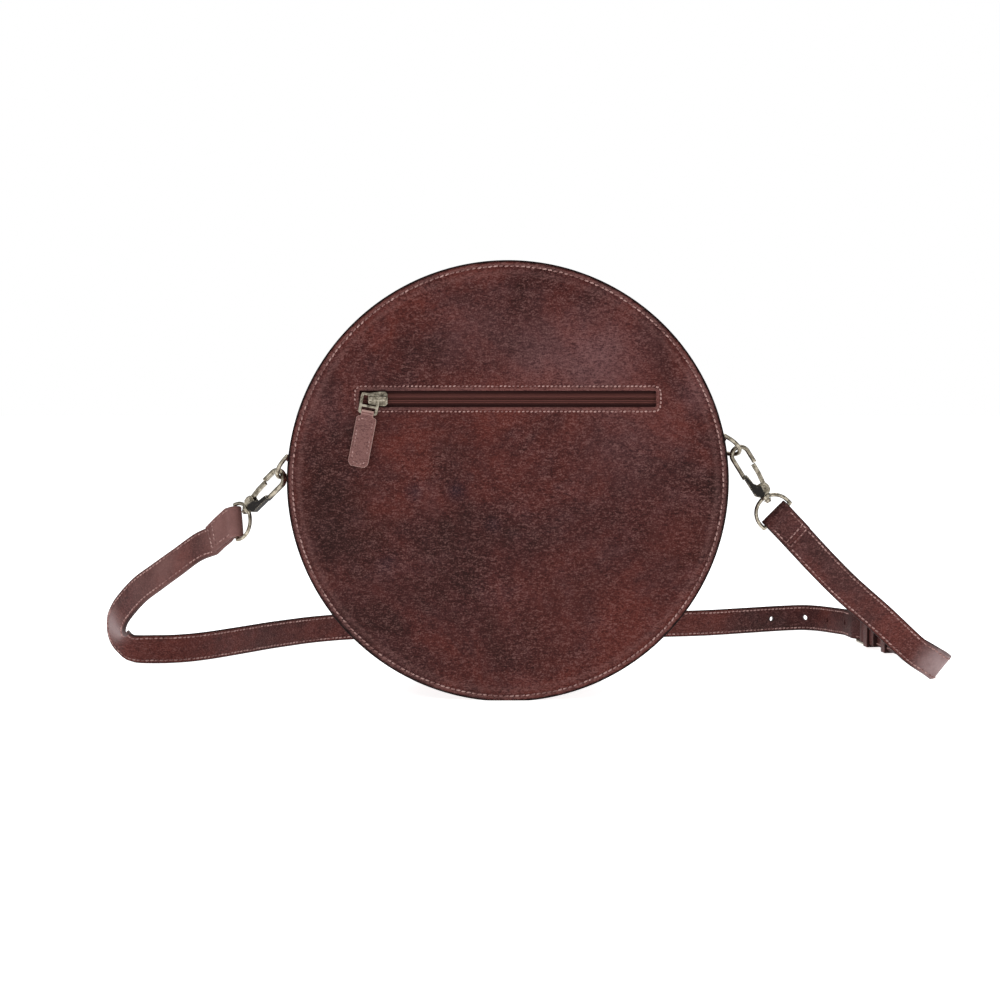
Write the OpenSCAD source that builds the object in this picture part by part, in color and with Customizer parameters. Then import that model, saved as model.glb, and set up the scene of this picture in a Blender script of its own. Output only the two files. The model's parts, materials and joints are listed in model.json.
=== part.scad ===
// Round leather shoulder bag that stands on its rim, with a zipped outer pocket,
// a zipped gusset and a buckled strap clipped to two D-rings.
// Frame: +Z up, +X to the right of the pocket side, the pocket side faces -Y.
// The origin is on the ground under the middle of the bag.

/* [Bag] */
// Diameter of the round panels
panel_d = 220; // [190:1:250]
// Outer depth over both panels
bag_depth = 70; // [60:1:90]
// Thickness of the outer leather
leather_t = 1.8; // [1.4:0.1:2.2]
// Thickness of the gusset leather
gusset_t = 1.6; // [1.2:0.1:2.0]
// Width of the turned-out seam round the gusset
seam_w = 5; // [4:0.5:7]
// Thickness of the stiffening boards
board_t = 0.8; // [0.6:0.1:1.2]
// Thickness of the lining cloth
lining_t = 0.6; // [0.4:0.1:0.8]
// Depth of the worn flat under the rim
rim_flat = 0.5; // [0.3:0.1:0.8]

/* [Gusset zip] */
// Height above the level of the centre where each end of the zip lies, as an angle
zip_end_angle = 28; // [24:1:32]
// Angle of the closed slider above the level of the centre
slider_park_angle = 35; // [34:1:44]
// Width of the gap in the leather over the zip
zip_gap = 8; // [8:0.2:10]

/* [Pocket zip] */
// Length of the pocket slot
slot_l = 147; // [120:1:155]
// Height of the slot above the centre of the panel
slot_rise = 41.5; // [36:0.5:50]
// Gap from the left end of the slot to the parked slider
slot_park = 4.2; // [3:0.1:6]
// Depth of the pocket pouch below the slot
pouch_drop = 95; // [80:1:100]

/* [Zip parts] */
// Width of each half of the zip tape
tape_w = 13; // [12:0.5:16]
// Thickness of the zip tape
tape_t = 0.8; // [0.6:0.1:1.0]
// Diameter of a coil row
coil_d = 1.6; // [1.4:0.1:1.8]
// Length of a slider
slider_l = 9.6; // [9:0.1:11]
// Width of a slider
slider_w = 7.2; // [6.8:0.1:7.4]
// Length of a ladder link
link_l = 10.4; // [10:0.1:12]
// Width of a ladder link
link_w = 9.6; // [9:0.1:11]
// Length of a leather pull tab
tab_l = 27; // [24:0.5:32]
// Width of a leather pull tab
tab_w = 10; // [9:0.1:11]
// Thickness of a leather pull tab
tab_t = 2.4; // [2:0.1:2.8]
// Lean of the hanging pocket pull
pull_lean = 11; // [0:1:20]

/* [Rings] */
// Wire of the D-rings
ring_wire = 2.2; // [2:0.1:2.6]
// Clear width of a D-ring
ring_w = 16; // [14:0.5:18]
// Depth of a D-ring from bar to bow
ring_depth = 11.6; // [11:0.1:13]
// Width of the leather loop that holds a ring
ring_tab_w = 10; // [8:0.5:11]

/* [Hooks] */
// Height of a snap hook
hook_h = 29.5; // [28:0.5:34]
// Width of the hook's arms, seen from the front
arm_w = 2.2; // [2:0.1:2.6]
// Depth of the hook's arms
arm_t = 3.4; // [3:0.1:3.8]
// Radius of the hook's bow
bow_r = 4.4; // [4.4:0.1:5]
// Wire of the swivel loops
loop_wire = 2.0; // [1.8:0.1:2.2]

/* [Strap] */
// Width of the strap
strap_w = 16; // [14:0.5:17]
// Thickness of the strap
strap_t = 2.4; // [2:0.1:2.6]
// Length of each sewn-back strap end
fold_l = 17; // [14:0.5:22]
// Spacing of the strap holes
hole_pitch = 24; // [20:1:28]
// Diameter of the strap holes
hole_d = 3.2; // [3:0.1:3.6]
// Length of the strap tip beyond the buckle
tip_l = 72; // [60:1:80]
// Width of a strap keeper
keeper_w = 7; // [6:0.5:9]
// Leather thickness of a keeper
keeper_t = 1.4; // [1:0.1:1.8]
// Wire of the buckle
buckle_wire = 2.0; // [1.8:0.1:2.4]
// Length of the buckle from bar to crosspiece
buckle_l = 16; // [15:0.5:20]

/* [Hidden] */

// Facets on large rounds and on small rounds
round_fn = 180;
small_fn = 40;

// One overrun serves every through cut
cut = 1;
// Air between a moving piece and its neighbour, and between stacked layers
run_gap = 0.15;
ply_gap = 0.1;
// Radial clearance of a pin in its bore
pin_gap = 0.05;

// Places on the bag
panel_r = panel_d / 2;
centre_z = panel_r - rim_flat;
face_y = bag_depth / 2;
back_of_leather = face_y - leather_t;
gusset_in = panel_r - seam_w - gusset_t;
gusset_out = panel_r - seam_w;
slot_z = centre_z + slot_rise;

// Zip chain: half of the gap down its middle, and the centre of a coil row
seat_half = 0.9;
row_y = seat_half + coil_d / 2 + ply_gap;

// Colours of the leather, metal, cloth and board
hide = [0.32, 0.15, 0.14];
hide_dark = [0.22, 0.10, 0.10];
brass = [0.55, 0.50, 0.38];
cloth = [0.45, 0.36, 0.28];
tape_tone = [0.24, 0.10, 0.10];
board_tone = [0.50, 0.42, 0.34];

// Sides: -1 is left and 1 is right
left = -1;
right = 1;

function unit(v) = v / norm(v);
function at(list, i) = list[min(max(i, 0), len(list) - 1)];
function first3(v) = [v[0], v[1], v[2]];
function last3(v) = [v[3], v[4], v[5]];

// A disc that lies in a vertical plane, from y = low to y = high
module disc(r, low, high) {
    translate([0, high, centre_z]) rotate([90, 0, 0]) cylinder(r = r, h = high - low, $fn = round_fn);
}

// A curved band round the bag's axis between two radii, two angles and two depths
module band(inner, outer, from_angle, to_angle, low, high) {
    translate([0, high, centre_z]) rotate([90, 0, 0])
        rotate([0, 0, from_angle])
            rotate_extrude(angle = to_angle - from_angle, $fn = round_fn)
                translate([inner, 0]) square([outer - inner, high - low]);
}

// The ground cuts the rim flat
module on_ground() {
    difference() {
        children();
        translate([-panel_r, -bag_depth, -panel_r]) cube([panel_d, bag_depth * 2, panel_r]);
    }
}

// Outer panels
module pocket_panel() {
    color(hide) on_ground() difference() {
        disc(panel_r, -face_y, -back_of_leather);
        slot_window(slot_l, zip_gap);
    }
}
module slot_window(length, height) {
    translate([-length / 2, -face_y - cut, slot_z - height / 2])
        cube([length, leather_t + board_t + cut * 2, height]);
}
module plain_panel() {
    color(hide) on_ground() disc(panel_r, back_of_leather, face_y);
}

// Stiffening boards behind the leather, the front one with a window for the tape
board_r = gusset_in - seam_w * 0.3;
module pocket_board() {
    color(board_tone) difference() {
        disc(board_r, -back_of_leather, board_t - back_of_leather);
        slot_window(slot_l + tape_w * 1.4, tape_window);
    }
}
tape_window = (tape_w + seat_half + ply_gap * 2) * 2;
module plain_board() {
    color(board_tone) disc(board_r, back_of_leather - board_t, back_of_leather);
}

// Layers behind the boards, measured from the front face
pouch_front = board_t - back_of_leather;
pouch_inner_depth = 6.3;
pouch_back = pouch_front + lining_t + pouch_inner_depth;
pocket_lining_y = pouch_back + lining_t + ply_gap;
pouch_w = slot_l + 6;
pouch_top = slot_z + tape_w;
pouch_low = slot_z - pouch_drop;
lining_r = gusset_in - lining_t - ply_gap;

module pocket_lining() {
    color(cloth) disc(lining_r, pocket_lining_y, pocket_lining_y + lining_t);
}
module plain_lining() {
    color(cloth) disc(lining_r, back_of_leather - board_t - lining_t, back_of_leather - board_t);
}

// Flat cloth pouch of the outer pocket, open in front where the tape is sewn on
module pocket_pouch() {
    height = pouch_top - pouch_low;
    mouth = (slider_w / 2 + 5) * 2;
    color(cloth) difference() {
        translate([-pouch_w / 2, pouch_front, pouch_low]) cube([pouch_w, pouch_back + lining_t - pouch_front, height]);
        translate([-pouch_w / 2 + lining_t, pouch_front + lining_t, pouch_low + lining_t])
            cube([pouch_w - lining_t * 2, pouch_inner_depth, height - lining_t * 2]);
        translate([-pouch_w / 2 + lining_t, pouch_front - cut, slot_z - mouth / 2])
            cube([pouch_w - lining_t * 2, cut + lining_t * 2, mouth]);
    }
}

// Gusset: a base band round the bottom and sides, and two strips beside the zip
module seam_flange(from_angle, to_angle, side) {
    y0 = side < 0 ? -back_of_leather : back_of_leather - gusset_t;
    band(gusset_in, panel_r, from_angle, to_angle, y0, y0 + gusset_t);
}
module gusset_base() {
    color(hide) on_ground() {
        band(gusset_in, gusset_out, 180 - zip_end_angle, 360 + zip_end_angle,
            -back_of_leather, back_of_leather);
        for (side = [left, right]) seam_flange(180 - zip_end_angle, 360 + zip_end_angle, side);
    }
}
module gusset_strip(side) {
    y0 = side < 0 ? -back_of_leather : zip_gap / 2;
    color(hide) {
        band(gusset_in, gusset_out, zip_end_angle, 180 - zip_end_angle,
            y0, y0 + back_of_leather - zip_gap / 2);
        seam_flange(zip_end_angle, 180 - zip_end_angle, side);
    }
}
module gusset_top_front() { gusset_strip(left); }
module gusset_top_back() { gusset_strip(right); }

// Cloth inside the gusset: a base length and a strip on each side of the zip
module gusset_lining() {
    y0 = pocket_lining_y + lining_t + ply_gap;
    y1 = back_of_leather - board_t - lining_t - ply_gap;
    edge = tape_w * 0.6;
    color(cloth) {
        band(gusset_in - lining_t, gusset_in, 180 - zip_end_angle, 360 + zip_end_angle, y0, y1);
        band(gusset_in - tape_t - lining_t, gusset_in - tape_t, zip_end_angle, 180 - zip_end_angle, y0, -edge);
        band(gusset_in - tape_t - lining_t, gusset_in - tape_t, zip_end_angle, 180 - zip_end_angle, edge, y1);
    }
}

// Zip chain

module main_zip_tape() {
    color(tape_tone) for (side = [left, right]) {
        y0 = side < 0 ? -seat_half - tape_w : seat_half;
        band(gusset_in - tape_t, gusset_in, zip_end_angle, 180 - zip_end_angle, y0, y0 + tape_w);
    }
}
module main_zip_coil() {
    r = gusset_in - tape_t - coil_d / 2;
    color(tape_tone) translate([0, 0, centre_z]) rotate([90, 0, 0]) rotate([0, 0, zip_end_angle])
        for (side = [left, right])
            rotate_extrude(angle = 180 - zip_end_angle * 2, $fn = round_fn)
                translate([r, side * row_y]) circle(d = coil_d, $fn = small_fn);
}
// Metal stops crimped over the closed end and the open end of the chain
stop_l = 2.4;
module main_zip_stops() {
    r = gusset_in - tape_t - coil_d;
    span = stop_l / r * 180 / PI;
    gap = (slider_park_angle - zip_end_angle) * 0.25;
    color(brass) for (a = [zip_end_angle + gap, 180 - zip_end_angle - gap - span])
        band(r - tape_t, r - ply_gap, a, a + span, -row_y - coil_d / 2, row_y + coil_d / 2);
}

module pocket_zip_tape() {
    length = slot_l + tape_w;
    color(tape_tone) for (side = [left, right])
        translate([-length / 2, -back_of_leather, slot_z + (side < 0 ? -seat_half - tape_w : seat_half)])
            cube([length, tape_t, tape_w]);
}
module pocket_zip_coil() {
    color(tape_tone) for (side = [left, right])
        translate([-slot_l / 2, -back_of_leather + tape_t + coil_d / 2, slot_z + side * row_y])
            rotate([0, 90, 0]) cylinder(d = coil_d, h = slot_l, $fn = small_fn);
}

// Slider: x runs along the zip, z points out of the bag and z = 0 is the outside of the tape
plate_t = 1.2;
plate_low = run_gap;
under_top = -tape_t - coil_d - run_gap * 2;
post_l = 2.4;
bridge_leg = 1.4;
bridge_w = 2.2;
link_z = plate_low + plate_t + 2.05;
link_t = 1.0;
bridge_low = link_z + link_t / 2 + 0.7;
leg_x = slider_l / 2 - bridge_leg / 2 - 0.5;

// Outline shares of the slider's half length and half width, wide at the mouth and narrow behind
slider_shares = [[-1, -0.62], [-0.86, -0.8], [0.2, -1], [0.78, -1], [1, -0.7],
    [1, 0.7], [0.78, 1], [0.2, 1], [-0.86, 0.8], [-1, 0.62]];
module slider_plate(low) {
    translate([0, 0, low]) linear_extrude(plate_t)
        polygon([for (p = slider_shares) [p[0] * slider_l / 2, p[1] * slider_w / 2]]);
}
module slider_body() {
    rail_t = slider_w / 2 - row_y - coil_d / 2 - run_gap;
    color(brass) {
        slider_plate(plate_low);
        slider_plate(under_top - plate_t);
        translate([slider_l / 2 - post_l * 1.4, -seat_half + run_gap, under_top])
            cube([post_l, (seat_half - run_gap) * 2, plate_low - under_top]);
        for (side = [left, right])
            translate([slider_l * 0.1, side * (slider_w / 2 - rail_t / 2), (under_top - tape_t - run_gap * 2) / 2])
                cube([slider_l * 0.5, rail_t, -tape_t - run_gap * 2 - under_top], center = true);
        for (x = [-leg_x, leg_x])
            translate([x - bridge_leg / 2, -bridge_w / 2, plate_low + plate_t])
                cube([bridge_leg, bridge_w, bridge_low - plate_low - plate_t]);
        translate([0, bridge_w / 2, bridge_low]) rotate([90, 0, 0]) linear_extrude(bridge_w)
            polygon([for (p = [[-1, 0], [1, 0], [1, 0.4], [0.7, 1], [-0.7, 1], [-1, 0.4]])
                [p[0] * (leg_x + bridge_leg / 2), p[1] * plate_t]]);
    }
}

// Ladder link: x runs from the bar in the slider to the bar in the leather, z = 0 is its middle
link_bar = 1.2;
rail_w = 1.4;
near_window = 4.6;
module rounded_plate(l, w, r) {
    translate([r, -w / 2]) square([l - r * 2, w]);
    translate([0, -w / 2 + r]) square([l, w - r * 2]);
    for (x = [r, l - r]) for (y = [r - w / 2, w / 2 - r]) translate([x, y]) circle(r = r, $fn = small_fn);
}
module ladder_link() {
    far_window = link_l - near_window - link_bar * 3;
    inner_w = link_w - rail_w * 2;
    color(brass) translate([0, 0, -link_t / 2]) difference() {
        linear_extrude(link_t) rounded_plate(link_l, link_w, rail_w);
        translate([link_bar, -inner_w / 2, -cut]) cube([near_window, inner_w, link_t + cut * 2]);
        translate([link_bar * 2 + near_window, -inner_w / 2, -cut])
            cube([far_window, inner_w, link_t + cut * 2]);
    }
}

// Leather pull tab: folded round the link's far bar, x runs down the tab
fold_ply = 0.6;
fold_in = norm([link_bar, link_t]) / 2 + pin_gap;
neck_w = link_w - rail_w * 2 - run_gap * 4;
module pull_tab() {
    corner = tab_w * 0.28;
    neck_l = fold_in + fold_ply + ply_gap * 4;
    color(hide) difference() {
        union() {
            translate([0, neck_w / 2, 0]) rotate([90, 0, 0]) cylinder(r = fold_in + fold_ply, h = neck_w, $fn = small_fn);
            translate([0, -neck_w / 2, -tab_t / 2]) cube([neck_l + ply_gap, neck_w, tab_t]);
            translate([neck_l, 0, -tab_t / 2]) linear_extrude(tab_t) tab_outline(tab_l - neck_l, corner);
        }
        translate([0, neck_w / 2 + cut, 0]) rotate([90, 0, 0])
            cylinder(r = fold_in, h = neck_w + cut * 2, $fn = small_fn);
    }
}
module tab_outline(length, corner) {
    shoulder = corner * 0.5;
    translate([shoulder, -tab_w / 2]) square([length - shoulder - corner, tab_w]);
    translate([0, shoulder - tab_w / 2]) square([length, tab_w - shoulder - corner]);
    translate([0, -tab_w / 2 + corner]) square([length, tab_w - corner - shoulder]);
    for (side = [left, right]) {
        translate([length - corner, side * (tab_w / 2 - corner)]) circle(r = corner, $fn = small_fn);
        translate([shoulder, side * (tab_w / 2 - shoulder)]) circle(r = shoulder, $fn = small_fn);
    }
}

// Places of the pocket slider and its pull
pocket_x = -slot_l / 2 + slot_park + slider_l / 2;
pocket_pivot_x = pocket_x - leg_x;
module at_pocket_slider() {
    translate([pocket_x, -back_of_leather, slot_z]) rotate([90, 0, 0]) children();
}
// The link hangs from the slider's left leg, its near bar just above the leg
hang_up = norm([bridge_leg, bridge_w]) / 2 + run_gap + link_bar;
module at_pocket_link() {
    translate([pocket_pivot_x, -back_of_leather - link_z, slot_z]) rotate([90, 0, 0])
        rotate([0, 0, -90 - pull_lean]) translate([-hang_up, 0, 0]) children();
}
bar_to_bar = link_l - link_bar;
module pocket_slider() { at_pocket_slider() slider_body(); }
module pocket_link() { at_pocket_link() ladder_link(); }
module pocket_tab() { at_pocket_link() translate([link_l - link_bar / 2, 0, 0]) pull_tab(); }

// Places of the gusset slider and its pull: x runs down the left side of the bag
tunnel_x = leg_x - bridge_leg / 2 - link_bar / 2 - ply_gap * 4;
droop = 28;
// Rise of the gusset's link, which its tab holds off the leather
link_rise = 17;
module at_main_slider() {
    translate([0, 0, centre_z]) rotate([0, -(90 - slider_park_angle), 0])
        translate([0, 0, gusset_in]) rotate([0, 0, 180]) children();
}
module main_slider() { at_main_slider() rotate([0, 0, 180]) slider_body(); }
module at_main_link() {
    at_main_slider() translate([tunnel_x, 0, link_z]) rotate([0, -link_rise, 0])
        translate([-link_bar / 2, 0, 0]) children();
}
module main_link() { at_main_link() ladder_link(); }
module main_tab() {
    at_main_link() translate([link_l - link_bar / 2, 0, 0]) rotate([0, droop, 0]) pull_tab();
}

// Rings: rise of the holding loop above the centre, fall of the ring, and twist of its bar
ring_rise = [5, 10];
ring_fall = [49, 30];
ring_twist = [-68, 66];
function side_index(side) = side < 0 ? 0 : 1;
ring_seat = 5.3;
bar_r = gusset_out + ring_seat;
function ring_bar(side) = [side * bar_r * cos(ring_rise[side_index(side)]), 0,
    centre_z + bar_r * sin(ring_rise[side_index(side)])];
function ring_tip(side) = ring_bar(side) + ring_depth
    * [side * cos(ring_fall[side_index(side)]), 0, -sin(ring_fall[side_index(side)])];
// Ring frame: x along the bar, z from the bar to the bow
module at_ring(side) {
    translate(ring_bar(side)) rotate([0, 0, side < 0 ? 180 : 0])
        rotate([0, 90 + ring_fall[side_index(side)], 0]) rotate([0, 0, ring_twist[side_index(side)]]) children();
}
module rod(from, to, d) {
    v = to - from;
    translate(from) rotate([0, acos(v[2] / norm(v)), atan2(v[1], v[0])])
        cylinder(d = d, h = norm(v), $fn = small_fn);
}
module half_hoop(r, d) {
    rotate([90, 0, 0]) rotate_extrude(angle = 180, $fn = small_fn * 2) translate([r, 0]) circle(d = d, $fn = small_fn);
}
module d_wire(half_w, depth, d) {
    side_l = depth - half_w;
    translate([0, 0, side_l]) half_hoop(half_w, d);
    for (s = [left, right]) {
        rod([s * half_w, 0, 0], [s * half_w, 0, side_l], d);
        translate([s * half_w, 0, 0]) sphere(d = d, $fn = small_fn);
    }
    rod([-half_w, 0, 0], [half_w, 0, 0], d);
}
module ring(side) {
    color(brass) at_ring(side) d_wire(ring_w / 2 + ring_wire / 2, ring_depth, ring_wire);
}
module ring_left() { ring(left); }
module ring_right() { ring(right); }

// Leather loop: a foot sewn to the gusset and a sleeve round the ring's bar
sleeve_t = 1.2;
foot_t = 1.2;
module ring_tab(side) {
    i = side_index(side);
    foot_angle = ring_tab_w * 0.9 / gusset_out * 180 / PI;
    mid_angle = side < 0 ? 180 - ring_rise[i] : ring_rise[i];
    sleeve_d = ring_wire + (pin_gap + sleeve_t) * 2;
    neck = ring_seat - foot_t;
    color(hide_dark) difference() {
        union() {
            band(gusset_out + pin_gap, gusset_out + foot_t, mid_angle - foot_angle, mid_angle + foot_angle,
                -ring_tab_w / 2, ring_tab_w / 2);
            at_ring(side) rotate([0, 90, 0]) cylinder(d = sleeve_d, h = ring_tab_w, center = true, $fn = small_fn);
            translate(ring_bar(side)) rotate([0, side * (90 - ring_rise[i]), 0])
                rotate([0, 0, side * ring_twist[i]]) translate([0, 0, -neck / 2 - foot_t / 2])
                    cube([ring_tab_w * 0.8, sleeve_t * 2, neck], center = true);
        }
        at_ring(side) rod([-ring_w, 0, 0], [ring_w, 0, 0], ring_wire + pin_gap * 2);
    }
}
module ring_tab_left() { ring_tab(left); }
module ring_tab_right() { ring_tab(right); }

// Hooks: heading of each hook's plane, its lean towards the bag, and its roll on its rivet
hook_heading = [150, 0];
hook_lean = [50, 32];
hook_roll = [-4, 0];
// Slack of the slanting ring wire in the bow
ring_slack = [0.8, 0.6];
bow_z = hook_h - bow_r - arm_w / 2;
function seat_z(side) = bow_z + bow_r - (arm_w + ring_wire) / 2 - ring_slack[side_index(side)];
// Hook frame: x towards the gate, z up the hook, z = 0 under its base
module at_hook_axis(side) {
    i = side_index(side);
    translate(ring_tip(side)) rotate([0, 0, hook_heading[i]]) rotate([0, -hook_lean[i], 0])
        translate([0, 0, -seat_z(side)]) children();
}
module at_hook(side) {
    at_hook_axis(side) rotate([0, 0, hook_roll[side_index(side)]]) children();
}
base_w = 9.2;
base_h = 6.2;
nose_z = 17.2;
pin_d = 1.4;
pin_x = 2;
pin_z = 3.9;
knuckle_r = 1.6;
fork_w = 2.2;
rivet_d = 2.4;
rivet_depth = 1.6;
// Base and lower spine, outline shares of half width and height
base_shares = [[-0.6, 0], [0.6, 0], [0.86, 0.18], [0.94, 0.55], [0.8, 0.88], [0.5, 1], [-0.1, 1],
    [-0.42, 1.3], [-0.56, 2.2], [-1.04, 2.2], [-1, 0.3]];
// Eased section of an arm, shares of half width and half depth
arm_shares = [[-1, -0.6], [-0.55, -1], [0.55, -1], [1, -0.6], [1, 0.6], [0.55, 1], [-0.55, 1], [-1, 0.6]];
module arm_section() {
    polygon([for (p = arm_shares) [p[0] * arm_w / 2, p[1] * arm_t / 2]]);
}
module flat_plate(t) {
    translate([0, t / 2, 0]) rotate([90, 0, 0]) linear_extrude(t) children();
}
module hook_body(side) {
    spine_z = base_h * 2;
    color(brass) at_hook(side) difference() {
        union() {
            translate([0, 0, bow_z]) rotate([90, 0, 0]) rotate_extrude(angle = 180, $fn = small_fn * 2)
                translate([bow_r, 0]) arm_section();
            translate([-bow_r, 0, spine_z]) linear_extrude(bow_z - spine_z) arm_section();
            translate([bow_r, 0, nose_z]) linear_extrude(bow_z - nose_z) arm_section();
            flat_plate(arm_t + ply_gap * 4) polygon([for (p = base_shares) [p[0] * base_w / 2, p[1] * base_h]]);
        }
        translate([pin_x - knuckle_r - run_gap * 2, -fork_w / 2, pin_z - knuckle_r - run_gap * 2])
            cube([base_w, fork_w, base_h]);
        translate([pin_x, arm_t, pin_z]) rotate([90, 0, 0])
            cylinder(d = pin_d + pin_gap * 2, h = arm_t * 2, $fn = small_fn);
        translate([0, 0, -cut]) cylinder(d = rivet_d + pin_gap, h = rivet_depth + cut, $fn = small_fn);
    }
}
module hook_left() { hook_body(left); }
module hook_right() { hook_body(right); }

// Gate: a flat bar from its knuckle in the fork up to the nose of the bow
gate_top = nose_z - run_gap * 3;
gate_w = 2.3;
module gate(side) {
    width = fork_w - run_gap * 2;
    color(brass) at_hook(side) difference() {
        union() {
            translate([pin_x, width / 2, pin_z]) rotate([90, 0, 0])
                cylinder(r = knuckle_r, h = width, $fn = small_fn);
            flat_plate(width) polygon([[pin_x - knuckle_r * 0.6, pin_z], [pin_x + knuckle_r * 0.9, pin_z],
                [bow_r - ply_gap, gate_top * 0.66], [bow_r, gate_top], [bow_r - gate_w, gate_top],
                [bow_r - gate_w - ply_gap, gate_top * 0.66]]);
        }
        translate([pin_x, arm_t / 2, pin_z]) rotate([90, 0, 0])
            cylinder(d = pin_d + pin_gap * 2, h = arm_t, $fn = small_fn);
        translate([pin_x, 0, pin_z]) rotate([90, 0, 0])
            cylinder(d = spring_d + run_gap * 2, h = spring_l + run_gap * 2, center = true, $fn = small_fn);
    }
}
module gate_left() { gate(left); }
module gate_right() { gate(right); }

module gate_pin(side) {
    length = arm_t + ply_gap * 4;
    color(brass) at_hook(side) translate([pin_x, length / 2, pin_z]) rotate([90, 0, 0])
        cylinder(d = pin_d, h = length, $fn = small_fn);
}
module gate_pin_left() { gate_pin(left); }
module gate_pin_right() { gate_pin(right); }

// Closed torsion coil on the pin, inside the gate's knuckle
spring_l = 0.6;
spring_d = 2.2;
module gate_spring(side) {
    color(brass) at_hook(side) translate([pin_x, 0, pin_z]) rotate([90, 0, 0]) difference() {
        cylinder(d = spring_d, h = spring_l, center = true, $fn = small_fn);
        cylinder(d = pin_d + pin_gap * 2, h = spring_l + cut, center = true, $fn = small_fn);
    }
}
module gate_spring_left() { gate_spring(left); }
module gate_spring_right() { gate_spring(right); }

// Rivet that joins the hook to its swivel loop and lets it turn
eye_t = 2.0;
eye_gap = 0.2;
head_t = 1.6;
module swivel_rivet(side) {
    color(brass) at_hook(side) {
        translate([0, 0, -eye_t - eye_gap * 4 - head_t / 2])
            cylinder(d = rivet_d, h = rivet_depth - ply_gap + eye_t + eye_gap * 4 + head_t / 2, $fn = small_fn);
        translate([0, 0, -eye_t - eye_gap * 4 - head_t])
            cylinder(d1 = rivet_d, d2 = rivet_d * 1.75, h = head_t, $fn = small_fn);
    }
}
module swivel_rivet_left() { swivel_rivet(left); }
module swivel_rivet_right() { swivel_rivet(right); }

// Swivel loop: a D of wire with an eye on its bow for the rivet. Each has the direction from
// its bar to its bow, the direction of its bar, and how far round the bow the eye is.
// The right loop leans further than its hook, so its bar lies along the fold of the strap.
right_turn = 13;
loop_axis = [unit([0.72, -0.65, 0.24]), hook_dir(right, -hook_lean[1] - right_turn)];
loop_bar_dir = [unit([-0.10, 0.25, 0.963]), hook_dir(right, 90 - hook_lean[1] - right_turn)];
loop_eye_angle = [33, 17];
loop_play = 0.4;
loop_half = strap_w / 2 + loop_wire / 2 + loop_play;
loop_depth = loop_half + loop_wire;
eye_z = -eye_gap - eye_t / 2;
function hook_dir(side, a) = let (i = side_index(side))
    [sin(a) * cos(hook_heading[i]), sin(a) * sin(hook_heading[i]), cos(a)];
function eye_point(side) = ring_tip(side) - (seat_z(side) - eye_z) * hook_dir(side, -hook_lean[side_index(side)]);
function loop_bar(side) = let (i = side_index(side), s = loop_eye_angle[i]) eye_point(side)
    - loop_half * (cos(s) * loop_axis[i] + sin(s) * loop_bar_dir[i])
    - (loop_depth - loop_half) * loop_axis[i];
module at_loop(side) {
    i = side_index(side);
    p = loop_bar(side);
    z = loop_axis[i];
    x = unit(loop_bar_dir[i] - (loop_bar_dir[i] * z) * z);
    y = cross(z, x);
    multmatrix([[x[0], y[0], z[0], p[0]], [x[1], y[1], z[1], p[1]], [x[2], y[2], z[2], p[2]]]) children();
}
module swivel_loop(side) {
    color(brass) difference() {
        union() {
            at_loop(side) d_wire(loop_half, loop_depth, loop_wire);
            at_hook_axis(side) translate([0, 0, eye_z]) cylinder(d = rivet_d * 2.2, h = eye_t, center = true, $fn = small_fn);
        }
        at_hook_axis(side) {
            translate([0, 0, eye_z]) cylinder(d = rivet_d + pin_gap * 2, h = eye_t * 2, center = true, $fn = small_fn);
            translate([0, 0, -eye_gap]) cylinder(d = rivet_d * 3, h = eye_t, $fn = small_fn);
            translate([0, 0, -eye_t * 2 - eye_gap * 3]) cylinder(d = rivet_d * 2, h = eye_t, $fn = small_fn);
        }
    }
}
module swivel_loop_left() { swivel_loop(left); }
module swivel_loop_right() { swivel_loop(right); }

// Strap ends: rows of a share of the sewn-back length, an offset from the loop's bar as shares of
// the strap's width, and the direction across the strap
left_end_shares = [
    [0, 0, 0, 0, -0.10, 0.25, 0.96], [0.25, -0.24, 0.105, -0.053, -0.09, 0.26, 0.96],
    [0.5, -0.45, 0.21, -0.23, -0.12, 0.35, 0.93], [0.75, -0.66, 0.36, -0.45, -0.20, 0.44, 0.87],
    [1, -0.86, 0.52, -0.64, -0.30, 0.52, 0.80]
];
right_end_shares = [
    [0, 0, 0, 0, 0.70, 0, 0.71], [0.33, 0.24, 0.08, -0.25, 0.69, 0, 0.72],
    [0.66, 0.49, 0.18, -0.50, 0.68, 0, 0.73], [1, 0.74, 0.29, -0.76, 0.66, 0, 0.75]
];
function end_rows(side) = side < 0 ? left_end_shares : right_end_shares;
flap_side = [-1, 1];

// Middle line between the two layers, at a distance from the bar
function mid_row(rows, k) = let (n = len(rows) - 1, i = min(max(floor(k * n), 0), n - 1), f = k * n - i)
    [for (c = [1:6]) rows[i][c] * (1 - f) + rows[i + 1][c] * f];
function mid_frame(side, d) = let (m = mid_row(end_rows(side), d / fold_l))
    [loop_bar(side) + strap_w * [m[0], m[1], m[2]], unit([m[3], m[4], m[5]])];
function mid_out(side, d) = let (a = mid_frame(side, max(d, 0) - 1), b = mid_frame(side, max(d, 0) + 1))
    unit(cross(unit(b[0] - a[0]), b[1]));

// Middle line of a sewn-back end as distances along the run and towards the flap
function fold_line(wire) = let (open = wire / 2 + run_gap + strap_t / 2, shut = (strap_t + ply_gap) / 2,
        reach = wire / 2 + run_gap) concat(
    [[fold_l, shut], [fold_l * 0.66, shut], [reach + strap_t, shut], [reach, open]],
    [for (a = [0:30:180]) [-open * sin(a), open * cos(a)]],
    [[reach, -open], [reach + strap_t, -shut], [fold_l * 0.66, -shut], [fold_l, -shut]]);
function end_frames(side) = let (s = flap_side[side_index(side)])
    [for (p = fold_line(loop_wire)) let (m = mid_frame(side, p[0]))
        concat(m[0] + p[1] * s * mid_out(side, p[0]), m[1])];

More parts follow.
